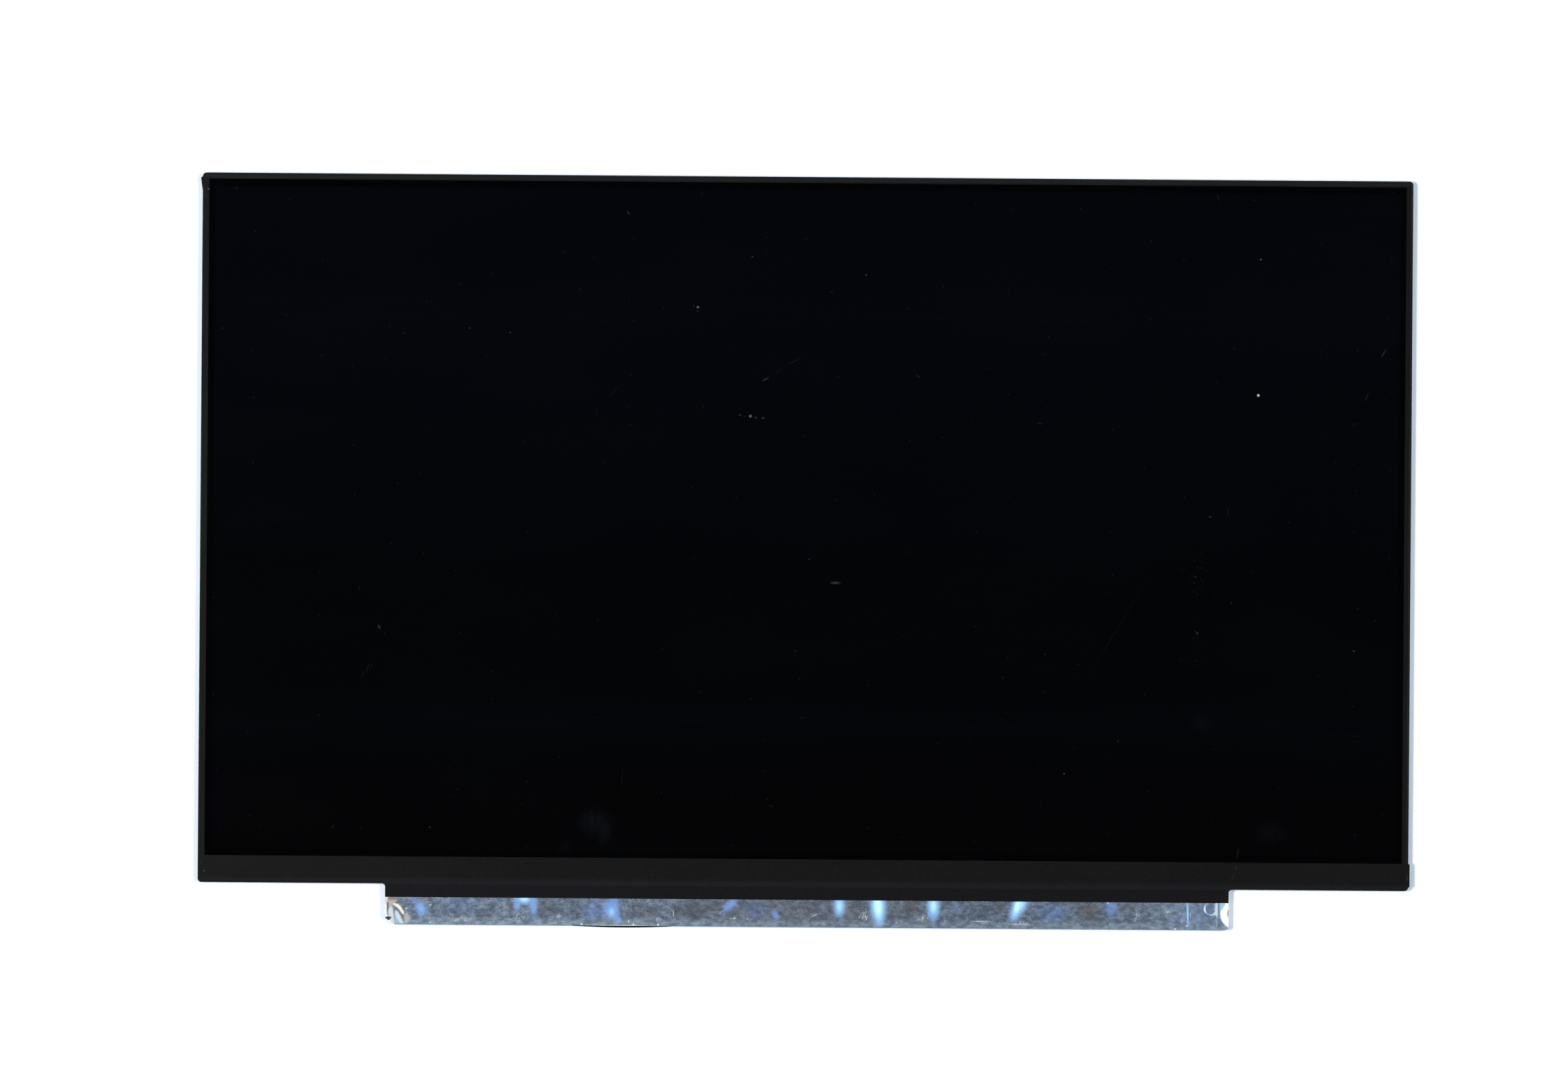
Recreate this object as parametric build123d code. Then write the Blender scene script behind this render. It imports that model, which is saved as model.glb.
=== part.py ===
from build123d import *
import os

# A bare laptop display module, lying face up on its back, in millimetres.
# +X runs to the right of the screen, +Y to its top edge and +Z to the viewer.
# The origin is under the middle of the active screen area, on the plane of the back plate's raised field.

# Screen and glass
active_width = 309.4
active_height = 174.0
front_film_margin_side = 1.4
front_film_margin_end = 1.2
polariser_thickness = 0.15
array_glass_thickness = 0.30
filter_glass_thickness = 0.20
glass_margin_side = 0.8
glass_margin_top = 0.6
filter_lip = 0.8
bond_ledge = 5.3
rear_film_setback = 0.6
glass_gap = 0.2

# Mould frame
frame_wall = 0.7
frame_edge_round = 0.5
corner_radius = 0.9
ledge_margin = 0.9
ledge_gap = 0.1
gateway_drop = 0.05

# Back plate
plate_thickness = 0.3
plate_wall_height = 1.1
plate_bend_radius = 0.25
field_depth = 0.2
field_inset = 9.0
field_slope = 1.2
field_corner_radius = 7.0

# Snap hooks of the frame in windows of the plate's walls
hook_length = 5.0
hook_height = 0.4
hook_reach = 0.25
hook_drop = 0.25
hook_spacing = 60.0
hook_end_margin = 20.0
snap_gap = 0.05

# Backlight
reflector_thickness = 0.15
guide_thickness = 0.55
guide_gap = 0.6
guide_margin_bottom = 2.0
diffuser_thickness = 0.1
prism_thickness = 0.1
sheet_gap = 0.2
rim_tape_thickness = 0.1
rim_margin = 0.5
led_flex_thickness = 0.1
led_flex_width = 3.4
led_pitch = 6.2
led_length = 3.0
led_depth = 0.9
led_gap = 0.1
led_edge_margin = 0.05
tail_offset = 33.0
tail_width = 11.0
tail_notch_gap = 0.5
tail_notch_height = 0.4
tail_lead_out = 0.6
tail_run = 2.2
tail_pad = 2.4

# Tapes
tape_thickness = 0.1
tape_film_gap = 0.05
tape_flange = 3.0
tongue_depth = 3.45
tongue_corner_radius = 0.8
loose_end_reach = 0.3
ear_reach = 0.44
ear_length = 3.8
ear_setback = 0.3

# Control board and its flexes
tab_width = 220.0
tab_offset = 1.05
board_gap = 0.3
board_thickness = 0.5
board_inset_left = 0.45
board_hole_diameter = 3.0
board_hole_from_right = 2.05
board_hole_from_top = 4.7
flex_thickness = 0.05
flex_width = 34.0
flex_count = 4
flex_glass_bond = 1.5
flex_board_bond = 1.5
driver_chip_length = 24.0
driver_chip_width = 1.0
driver_chip_from_filter = 1.2
driver_chip_tape_gap = 0.05

# Shield foil
foil_thickness = 0.1
foil_depth = 7.2
foil_flex_gap = 0.25
foil_overhang = 2.7
foil_bend_radius = 0.25
foil_flange = 1.5
foil_cut_width = 2.0
foil_cut_height = 1.8
foil_corner_length = 2.6
foil_corner_rise = 0.7

# Data connector
connector_from_left = 61.4
connector_width = 21.0
connector_depth = 4.0
connector_height = 1.0
connector_notch_gap = 2.35
shell_thickness = 0.1
shell_window_length = 4.0
shell_window_depth = 0.9
slot_end_wall = 1.2
slot_height = 0.5
slot_depth = 2.6
contact_count = 30
contact_pitch = 0.5
contact_width = 0.2
contact_thickness = 0.12
contact_setback = 0.3
contact_tail = 0.7
connector_tape_lap = 2.6
connector_tape_lip = 0.05
connector_tape_bow = 0.35

# Parts on the rear of the control board
timing_chip_offset = 6.0
timing_chip_size = 6.5
memory_chip_offset = 16.0
memory_chip_length = 3.0
memory_chip_width = 2.0
power_chip_from_left = 24.0
power_chip_size = 5.0
backlight_chip_from_right = 26.0
backlight_chip_size = 4.0
chip_height = 0.8
chip_bevel = 0.08
coil_size = 4.0
coil_height = 1.1
coil_corner = 0.9
coil_gap = 2.8
capacitor_length = 1.0
capacitor_width = 0.5
capacitor_height = 0.5
capacitor_pitch = 1.8
capacitor_rows = 3
capacitor_chip_gap = 0.9
resistor_length = 0.6
resistor_width = 1.0
resistor_height = 0.35
resistor_pitch = 1.8
resistor_count = 8
resistor_from_top = 2.2

# Levels, from the back to the front
border_rear = field_depth
tray_floor = border_rear + plate_thickness
wall_top = border_rear + plate_wall_height
guide_rear = tray_floor + reflector_thickness
guide_front = guide_rear + guide_thickness
diffuser_front = guide_front + diffuser_thickness
lower_prism_front = diffuser_front + prism_thickness
upper_prism_front = lower_prism_front + prism_thickness
ledge_rear = guide_front + ledge_gap
rim_front = upper_prism_front + rim_tape_thickness
array_rear = rim_front + polariser_thickness
array_front = array_rear + array_glass_thickness
filter_front = array_front + filter_glass_thickness
film_front = filter_front + polariser_thickness
tape_front = filter_front + tape_thickness
board_front = filter_front - foil_thickness
board_rear = board_front - board_thickness
led_rear = tray_floor + led_flex_thickness
led_front = led_rear + guide_thickness - led_edge_margin

# Edges of the layers, from the screen outwards
film_x = active_width / 2 + front_film_margin_side
film_top = active_height / 2 + front_film_margin_end
film_bottom = -film_top
glass_x = film_x + glass_margin_side
glass_top = film_top + glass_margin_top
filter_bottom = film_bottom - filter_lip
array_bottom = filter_bottom - bond_ledge
pocket_x = glass_x + glass_gap
pocket_top = glass_top + glass_gap
pocket_bottom = array_bottom - glass_gap
body_x = pocket_x + frame_wall
body_top = pocket_top + frame_wall
body_bottom = pocket_bottom - frame_wall
body_middle = (body_top + body_bottom) / 2
opening_x = active_width / 2 + ledge_margin
opening_y = active_height / 2 + ledge_margin
guide_x = pocket_x - guide_gap
guide_top = pocket_top - guide_gap
guide_bottom = -active_height / 2 - guide_margin_bottom
led_face = guide_bottom - led_gap

# Edges of the tab below the screen
tab_left = tab_offset - tab_width / 2
tab_right = tab_offset + tab_width / 2
tongue_bottom = body_bottom - tape_thickness - tongue_depth
foil_bottom = tongue_bottom - foil_depth
board_left = tab_left + board_inset_left
board_right = tab_right - foil_overhang
board_middle = (board_left + board_right) / 2
board_top = body_bottom - board_gap
board_bottom = foil_bottom + foil_bend_radius
board_centre_line = (board_top + board_bottom) / 2
foil_top = board_top - flex_board_bond - foil_flex_gap
connector_x = board_left + connector_from_left
connector_notch_half = connector_width / 2 + connector_notch_gap
shell_rear = board_rear - connector_height
tail_x = board_middle + tail_offset

# Past every face of the module, for cutting blocks
far = active_width


def block(x_low, x_high, y_low, y_high, z_low, z_high):
    """A box between two limits on each axis."""
    box = Box(x_high - x_low, y_high - y_low, z_high - z_low, align=(Align.MIN, Align.MIN, Align.MIN))
    return Pos(x_low, y_low, z_low) * box


def slab(sketch, z_low, z_high):
    """A flat outline given a thickness between two levels."""
    return extrude(Pos(0, 0, z_low) * sketch, z_high - z_low)


def along_x(profile_points, x_low, x_high):
    """A profile of (y, z) points drawn out along X."""
    profile = make_face(Polyline(*profile_points, close=True))
    return Pos(x_low, 0, 0) * extrude(Plane.YZ * profile, x_high - x_low)


def ribbon(path, thickness, x_low, x_high):
    """A flexible strip whose rear face follows (y, z) points."""
    front = [(y, z + thickness) for y, z in reversed(path)]
    return along_x(list(path) + front, x_low, x_high)


def body_outline(growth):
    """The outline of frame and plate, grown on every side."""
    width = 2 * (body_x + growth)
    height = body_top - body_bottom + 2 * growth
    return Pos(0, body_middle) * RectangleRounded(width, height, corner_radius + growth)


def spread(low, high, spacing):
    """Evenly spaced places about the middle of a stretch."""
    count = int((high - low) // spacing) + 1
    first = (low + high) / 2 - (count - 1) * spacing / 2
    return [first + index * spacing for index in range(count)]


def round_rim(solid, axis_end, radius):
    """Rounds the outer edges of a prism's front face (-1) or rear face (0)."""
    face = solid.faces().sort_by(Axis.Z)[axis_end]
    return fillet(face.outer_wire().edges(), radius)


def round_walls(shape, inset):
    """Copies of a shape, made facing +Y, at every snap hook on the four walls."""
    along = spread(-body_x + hook_end_margin, body_x - hook_end_margin, hook_spacing)
    upright = spread(body_bottom + hook_end_margin, body_top - hook_end_margin, hook_spacing)
    copies = [Pos(x, body_top - inset) * shape for x in along]
    copies += [Pos(x, body_bottom + inset) * Rot(0, 0, 180) * shape for x in along]
    copies += [Pos(body_x - inset, y) * Rot(0, 0, -90) * shape for y in upright]
    copies += [Pos(inset - body_x, y) * Rot(0, 0, 90) * shape for y in upright]
    return copies


def tail_notch(z_low, z_high):
    """The gap in the lower walls where the LED flex's tail comes out."""
    half = tail_width / 2 + tail_notch_gap
    return block(tail_x - half, tail_x + half, body_bottom - tape_thickness, pocket_bottom, z_low, z_high)


def make_back_plate():
    """A pressed tray with folded walls, snap windows and a raised field that the module rests on."""
    tray = round_rim(slab(body_outline(0), border_rear, wall_top), 0, plate_bend_radius)
    tray -= slab(body_outline(-plate_thickness), tray_floor, wall_top)
    field_width = 2 * (body_x - field_inset)
    field_height = body_top - body_bottom - 2 * field_inset
    edge = RectangleRounded(field_width, field_height, field_corner_radius)
    crest = RectangleRounded(
        field_width - 2 * field_slope, field_height - 2 * field_slope, field_corner_radius - field_slope
    )
    field = loft([Pos(0, body_middle, border_rear) * edge, Pos(0, body_middle, 0) * crest])
    tray = tray + field - Pos(0, 0, plate_thickness) * field
    window_top = wall_top - hook_drop + snap_gap
    window_length = hook_length / 2 + snap_gap
    window = block(
        -window_length, window_length, 0, plate_thickness, window_top - hook_height - 2 * snap_gap, window_top
    )
    for cut in round_walls(window, plate_thickness):
        tray -= cut
    return tray - tail_notch(tray_floor, tray_floor + tail_notch_height)


def make_mould_frame():
    """The frame on the tray's walls, with a ledge for the glass and a gateway for the flexes."""
    rim = round_rim(slab(body_outline(0), wall_top, filter_front), -1, frame_edge_round)
    frame = rim + slab(body_outline(-plate_thickness - snap_gap), tray_floor, wall_top)
    frame -= block(-pocket_x, pocket_x, pocket_bottom, pocket_top, upper_prism_front, filter_front)
    frame -= block(-pocket_x, pocket_x, pocket_bottom, pocket_top, tray_floor, ledge_rear)
    frame -= block(-opening_x, opening_x, -opening_y, opening_y, ledge_rear, upper_prism_front)
    gateway_rear = array_front - gateway_drop
    frame -= block(board_left, board_right, body_bottom, pocket_bottom, gateway_rear, filter_front)
    hook_top = wall_top - hook_drop
    wedge_points = [(0, hook_top - hook_height), (hook_reach, hook_top), (0, hook_top)]
    wedge = along_x(wedge_points, -hook_length / 2, hook_length / 2)
    for hook in round_walls(wedge, plate_thickness + snap_gap):
        frame += hook
    return frame - tail_notch(tray_floor, tray_floor + tail_notch_height)


def make_light_sheets():
    """The flat layers of the backlight, each a cut sheet."""
    sheet_x = opening_x - sheet_gap
    sheet_y = opening_y - sheet_gap
    reflector = block(-guide_x, guide_x, guide_bottom, guide_top, tray_floor, guide_rear)
    guide = block(-guide_x, guide_x, guide_bottom, guide_top, guide_rear, guide_front)
    diffuser = block(-sheet_x, sheet_x, -sheet_y, sheet_y, guide_front, diffuser_front)
    lower_prism = block(-sheet_x, sheet_x, -sheet_y, sheet_y, diffuser_front, lower_prism_front)
    upper_prism = block(-sheet_x, sheet_x, -sheet_y, sheet_y, lower_prism_front, upper_prism_front)
    return reflector, guide, diffuser, lower_prism, upper_prism


def make_led_flex():
    """The strip under the LEDs and the tail that climbs to the rear of the control board."""
    flex_top = led_face
    flex_bottom = flex_top - led_flex_width
    strip = block(-active_width / 2, active_width / 2, flex_bottom, flex_top, tray_floor, led_rear)
    climb_start = board_top - tail_lead_out
    climb_end = climb_start - tail_run
    pad_level = board_rear - led_flex_thickness
    path = [
        (flex_top, tray_floor),
        (climb_start, tray_floor),
        (climb_end, pad_level),
        (climb_end - tail_pad, pad_level),
    ]
    return strip + ribbon(path, led_flex_thickness, tail_x - tail_width / 2, tail_x + tail_width / 2)


def make_leds():
    """A row of side-firing lamps that face the lower edge of the light guide."""
    half = active_width / 2 - led_length / 2
    lamps = []
    for x in spread(-half, half, led_pitch):
        lamp = block(
            x - led_length / 2, x + led_length / 2, led_face - led_depth, led_face, led_rear, led_front
        )
        lamps.append(lamp)
    return Compound(children=lamps)


def make_rim_tape():
    """The ring that bonds the glass to the frame's ledge and hides the edges of the sheets."""
    ring = block(-glass_x, glass_x, array_bottom, glass_top, upper_prism_front, rim_front)
    inner_x = active_width / 2 + rim_margin
    inner_y = active_height / 2 + rim_margin
    return ring - block(-inner_x, inner_x, -inner_y, inner_y, upper_prism_front, rim_front)


def make_cell():
    """The two glass plates and the polarising films on their outer faces."""
    rear_x = glass_x - rear_film_setback
    rear_low = filter_bottom + rear_film_setback
    rear_high = glass_top - rear_film_setback
    rear_film = block(-rear_x, rear_x, rear_low, rear_high, rim_front, array_rear)
    array_glass = block(-glass_x, glass_x, array_bottom, glass_top, array_rear, array_front)
    filter_glass = block(-glass_x, glass_x, filter_bottom, glass_top, array_front, filter_front)
    front_film = block(-film_x, film_x, film_bottom, film_top, filter_front, film_front)
    return rear_film, array_glass, filter_glass, front_film


def flex_places():
    """Where the flexes cross from the glass to the board."""
    pitch = (board_right - board_left) / flex_count
    return [board_left + (index + 0.5) * pitch for index in range(flex_count)]


def make_driver_chips():
    """Bare driver dies on the bonding ledge, under the lower tape."""
    chip_top = filter_bottom - driver_chip_from_filter
    chip_bottom = chip_top - driver_chip_width
    chip_front = filter_front - driver_chip_tape_gap
    half = driver_chip_length / 2
    chips = []
    for x in flex_places():
        chips.append(block(x - half, x + half, chip_bottom, chip_top, array_front, chip_front))
    return Compound(children=chips)


def make_board_flexes():
    """Short flexes bonded to the glass ledge and to the front of the control board."""
    path = [
        (array_bottom + flex_glass_bond, array_front),
        (array_bottom, array_front),
        (board_top, board_front),
        (board_top - flex_board_bond, board_front),
    ]
    half = flex_width / 2
    return Compound(children=[ribbon(path, flex_thickness, x - half, x + half) for x in flex_places()])


def make_control_board():
    """The long narrow circuit board, with a cut corner and a locating hole."""
    outline = make_face(
        Polyline(
            (board_left + foil_cut_width, board_bottom),
            (board_right, board_bottom),
            (board_right, board_top),
            (board_left, board_top),
            (board_left, board_bottom + foil_cut_height),
            close=True,
        )
    )
    hole_place = Pos(board_right - board_hole_from_right, board_top - board_hole_from_top)
    hole = hole_place * Circle(board_hole_diameter / 2)
    return slab(outline - hole, board_rear, board_front)


def make_shield_foil():
    """Foil stuck to the front of the board and folded round its lower edge, open at the connector."""
    foil_left = tab_left
    wrap_left = foil_left + foil_cut_width + board_inset_left
    corner_x = tab_right - foil_corner_length
    corner_y = foil_bottom + foil_corner_rise
    straight = Polyline(
        (corner_x, foil_bottom),
        (wrap_left, foil_bottom),
        (foil_left, foil_bottom + foil_cut_height),
        (foil_left, foil_top),
        (tab_right, foil_top),
        (tab_right, corner_y),
    )
    corner = EllipticalCenterArc((corner_x, corner_y), foil_corner_length, foil_corner_rise, 270, arc_size=90)
    foil = slab(make_face([straight, corner]), board_front, filter_front)
    foil -= block(wrap_left, board_right, foil_bottom, board_bottom, board_front, filter_front)
    flange_end = foil_bottom + foil_flange
    flange_rear = board_rear - foil_thickness
    wrap = block(wrap_left, board_right, foil_bottom, flange_end, flange_rear, filter_front)
    wrap = fillet(wrap.edges().filter_by(Axis.X).group_by(Axis.Y)[0], foil_bend_radius)
    inside = block(wrap_left, board_right, foil_bottom + foil_thickness, flange_end, board_rear, board_front)
    inner_radius = foil_bend_radius - foil_thickness
    inside = fillet(inside.edges().filter_by(Axis.X).group_by(Axis.Y)[0], inner_radius)
    foil += wrap - inside
    notch_left = connector_x - connector_notch_half
    notch_right = connector_x + connector_notch_half
    foil -= block(notch_left, notch_right, foil_bottom, board_bottom, flange_rear, filter_front)
    return foil - block(notch_left, notch_right, foil_bottom, flange_end, flange_rear, board_rear)


def make_tape_skin():
    """The whole wrap of black tape round the edge, before it is parted into strips."""
    outer = slab(body_outline(tape_thickness), border_rear - tape_thickness, tape_front)
    outer = round_rim(outer, -1, frame_edge_round + tape_thickness)
    outer = round_rim(outer, 0, plate_bend_radius + tape_thickness)
    inner = slab(body_outline(0), border_rear, filter_front)
    inner = round_rim(inner, -1, frame_edge_round)
    inner = round_rim(inner, 0, plate_bend_radius)
    window_x = film_x + tape_film_gap
    window_y = film_top + tape_film_gap
    window = block(-window_x, window_x, -window_y, window_y, filter_front, tape_front)
    rear_x = body_x - tape_flange
    rear = block(-rear_x, rear_x, body_bottom + tape_flange, body_top - tape_flange, 0, border_rear)
    return outer - inner - window - rear


def make_edge_tapes():
    """The strips of black tape along the four edges of the module."""
    skin = make_tape_skin()
    edge_y = film_top + tape_film_gap
    flange_x = body_x - tape_flange
    top_region = block(-far, far, edge_y, far, -far, far)
    top_region += block(-flange_x, flange_x, body_middle, far, -far, far)
    lower_region = block(-far, far, -far, -edge_y, -far, far)
    lower_region += block(-flange_x, flange_x, -far, body_middle, -far, far)
    sides = skin - top_region - lower_region
    left = sides & block(-far, 0, -far, far, -far, far)
    right = sides & block(0, far, -far, far, -far, far)
    return (skin & top_region) + make_folded_ear(), left, right, make_lower_tape(skin & lower_region)


def make_folded_ear():
    """The top tape's end, folded round the left corner and standing a little proud."""
    side = -body_x - tape_thickness
    ear_top = body_top - corner_radius
    outline = Polyline(
        (side, ear_top),
        (side - ear_reach, ear_top - ear_setback),
        (side - ear_reach, ear_top - 2 * ear_setback),
        (side, ear_top - ear_length),
        close=True,
    )
    return slab(make_face(outline), border_rear + plate_bend_radius, filter_front - frame_edge_round)


def make_lower_tape(strip):
    """The wide lower tape: cut free across the tab, with a flat tongue over the board."""
    tongue_top = body_bottom + frame_edge_round
    strip -= block(tab_left, tab_right, -far, -film_top, -far, filter_front)
    strip -= block(tab_left, tab_right, -far, tongue_top, -far, far)
    strip += block(tab_left, tab_right, tongue_bottom, tongue_top, filter_front, tape_front)
    radius = tongue_corner_radius
    web_low = body_bottom - tape_thickness - radius
    for side, x in ((-1, tab_left), (1, tab_right)):
        middle = x + side * radius
        web = Pos((x + middle) / 2, (web_low + tongue_top) / 2) * Rectangle(radius, tongue_top - web_low)
        web -= Pos(middle, web_low) * Circle(radius)
        strip += slab(web, filter_front, tape_front)
    side = body_x + tape_thickness
    high = -film_top - tape_film_gap
    low = body_bottom + corner_radius
    strip += block(side - frame_edge_round, side + loose_end_reach, low, high, filter_front, tape_front)
    drop_inner = side + loose_end_reach - tape_thickness
    return strip + block(drop_inner, side + loose_end_reach, low, high, tray_floor, tape_front)


def contact_boxes():
    """The row of flat contacts, from inside the slot to their solder tails."""
    front = board_bottom + contact_setback
    end = board_bottom + connector_depth + contact_tail
    half = contact_width / 2
    boxes = []
    for index in range(contact_count):
        x = connector_x + (index - (contact_count - 1) / 2) * contact_pitch
        boxes.append(block(x - half, x + half, front, end, board_rear - contact_thickness, board_rear))
    return boxes


def make_connector():
    """The data socket on the rear of the board: housing, folded shell and contacts."""
    half = connector_width / 2
    inner_half = half - shell_thickness
    back = board_bottom + connector_depth
    housing_rear = shell_rear + shell_thickness
    x_low = connector_x - inner_half
    x_high = connector_x + inner_half
    housing = block(x_low, x_high, board_bottom, back, housing_rear, board_rear)
    slot_front = board_rear - contact_thickness
    slot_rear = slot_front - slot_height
    slot_end = board_bottom + slot_depth
    slot_low = x_low + slot_end_wall
    slot_high = x_high - slot_end_wall
    housing -= block(slot_low, slot_high, board_bottom, slot_end, slot_rear, slot_front)
    for contact in contact_boxes():
        housing -= contact
    shell = block(connector_x - half, connector_x + half, board_bottom, back, shell_rear, board_rear)
    shell -= block(x_low, x_high, board_bottom, back, housing_rear, board_rear)
    window_y = board_bottom + connector_tape_lap
    for x in (connector_x - half / 2, connector_x + half / 2):
        shell -= block(
            x - shell_window_length / 2,
            x + shell_window_length / 2,
            window_y,
            window_y + shell_window_depth,
            shell_rear,
            housing_rear,
        )
    return housing, shell, Compound(children=contact_boxes())


def make_connector_tape():
    """A black strip on the connector's shell, whose bowed edge shows below the foil."""
    left = connector_x - connector_notch_half
    right = connector_x + connector_notch_half
    upper = board_bottom + connector_tape_lap
    lower = foil_bottom - connector_tape_lip
    bow = ThreePointArc((left, lower), (connector_x, lower - connector_tape_bow), (right, lower))
    outline = make_face([Polyline((right, lower), (right, upper), (left, upper), (left, lower)), bow])
    return slab(outline, shell_rear - tape_thickness, shell_rear)


def make_chip(x, length, width):
    """A flat moulded chip package on the rear of the board, with bevelled edges."""
    chip = block(
        x - length / 2,
        x + length / 2,
        board_centre_line - width / 2,
        board_centre_line + width / 2,
        board_rear - chip_height,
        board_rear,
    )
    return chamfer(chip.faces().sort_by(Axis.Z)[0].edges(), chip_bevel)


def make_coil(x):
    """A shielded power coil: a low block with cut corners."""
    outline = Pos(x, board_centre_line) * Rectangle(coil_size, coil_size)
    outline = chamfer(outline.vertices(), coil_corner)
    return slab(outline, board_rear - coil_height, board_rear)


def make_capacitors(chip_places):
    """Columns of ceramic capacitors on both sides of each chip."""
    capacitors = []
    for x, length in chip_places:
        reach = length / 2 + capacitor_chip_gap
        for centre in (x - reach, x + reach):
            for row in range(capacitor_rows):
                y = board_centre_line + (row - (capacitor_rows - 1) / 2) * capacitor_pitch
                capacitors.append(
                    block(
                        centre - capacitor_width / 2,
                        centre + capacitor_width / 2,
                        y - capacitor_length / 2,
                        y + capacitor_length / 2,
                        board_rear - capacitor_height,
                        board_rear,
                    )
                )
    return Compound(children=capacitors)


def make_resistors():
    """A row of chip resistors above the data connector."""
    y = board_top - resistor_from_top
    resistors = []
    for index in range(resistor_count):
        x = connector_x + (index - (resistor_count - 1) / 2) * resistor_pitch
        resistors.append(
            block(
                x - resistor_length / 2,
                x + resistor_length / 2,
                y - resistor_width / 2,
                y + resistor_width / 2,
                board_rear - resistor_height,
                board_rear,
            )
        )
    return Compound(children=resistors)


timing_x = board_middle + timing_chip_offset
memory_x = board_middle + memory_chip_offset
power_x = board_left + power_chip_from_left
backlight_x = board_right - backlight_chip_from_right
coil_reach = coil_gap + coil_size / 2
power_coil = make_coil(power_x + power_chip_size / 2 + coil_reach)
backlight_coil = make_coil(backlight_x - backlight_chip_size / 2 - coil_reach)
chip_places = [
    (timing_x, timing_chip_size),
    (power_x, power_chip_size),
    (backlight_x, backlight_chip_size),
]

reflector_sheet, light_guide, diffuser_sheet, lower_prism_sheet, upper_prism_sheet = make_light_sheets()
rear_polariser, array_glass, colour_filter_glass, front_polariser = make_cell()
top_tape, left_tape, right_tape, lower_tape = make_edge_tapes()
connector_housing, connector_shell, connector_contacts = make_connector()

nodes = {
    "back_plate": make_back_plate(),
    "mould_frame": make_mould_frame(),
    "reflector_sheet": reflector_sheet,
    "light_guide": light_guide,
    "led_flex": make_led_flex(),
    "leds": make_leds(),
    "diffuser_sheet": diffuser_sheet,
    "lower_prism_sheet": lower_prism_sheet,
    "upper_prism_sheet": upper_prism_sheet,
    "rim_tape": make_rim_tape(),
    "rear_polariser": rear_polariser,
    "array_glass": array_glass,
    "colour_filter_glass": colour_filter_glass,
    "front_polariser": front_polariser,
    "driver_chips": make_driver_chips(),
    "board_flexes": make_board_flexes(),
    "control_board": make_control_board(),
    "shield_foil": make_shield_foil(),
    "top_tape": top_tape,
    "left_tape": left_tape,
    "right_tape": right_tape,
    "lower_tape": lower_tape,
    "connector_housing": connector_housing,
    "connector_shell": connector_shell,
    "connector_contacts": connector_contacts,
    "connector_tape": make_connector_tape(),
    "timing_chip": make_chip(timing_x, timing_chip_size, timing_chip_size),
    "memory_chip": make_chip(memory_x, memory_chip_length, memory_chip_width),
    "power_chip": make_chip(power_x, power_chip_size, power_chip_size),
    "backlight_chip": make_chip(backlight_x, backlight_chip_size, backlight_chip_size),
    "power_coils": Compound(children=[power_coil, backlight_coil]),
    "capacitors": make_capacitors(chip_places),
    "resistors": make_resistors(),
}

os.makedirs("parts", exist_ok=True)
for node, shape in nodes.items():
    export_step(shape, f"parts/{node}.step")
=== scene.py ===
import math

import bmesh
import bpy
import numpy as np
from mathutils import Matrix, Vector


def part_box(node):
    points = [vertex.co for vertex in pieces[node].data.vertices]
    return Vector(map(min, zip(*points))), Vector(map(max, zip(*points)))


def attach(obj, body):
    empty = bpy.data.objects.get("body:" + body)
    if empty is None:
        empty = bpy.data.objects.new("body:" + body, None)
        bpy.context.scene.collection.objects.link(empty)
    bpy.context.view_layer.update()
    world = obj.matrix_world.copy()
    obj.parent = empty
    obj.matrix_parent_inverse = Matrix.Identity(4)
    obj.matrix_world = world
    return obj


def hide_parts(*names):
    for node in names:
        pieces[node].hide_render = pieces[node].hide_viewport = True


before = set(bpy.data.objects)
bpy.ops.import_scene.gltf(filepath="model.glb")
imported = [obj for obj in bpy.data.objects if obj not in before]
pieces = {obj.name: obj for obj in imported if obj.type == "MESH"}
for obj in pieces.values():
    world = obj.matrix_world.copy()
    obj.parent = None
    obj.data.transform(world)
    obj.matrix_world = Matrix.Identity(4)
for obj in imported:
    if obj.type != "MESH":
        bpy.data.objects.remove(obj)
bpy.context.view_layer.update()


# Back plate: the tray that carries the module, pressed from thin aluminium sheet.
# Its walls are folded up and a wide field is embossed outwards. The rolled sheet keeps a fine grain
# along its length, with faint rubbed patches where it has been handled.
mm = 0.001


def shade(red, green, blue):
    """A colour as read off a screen, 0 to 255, on the shader's own scale."""
    scaled = [value / 255 for value in (red, green, blue)]
    linear = [v / 12.92 if v <= 0.04045 else ((v + 0.055) / 1.055) ** 2.4 for v in scaled]
    return (*linear, 1.0)


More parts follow.
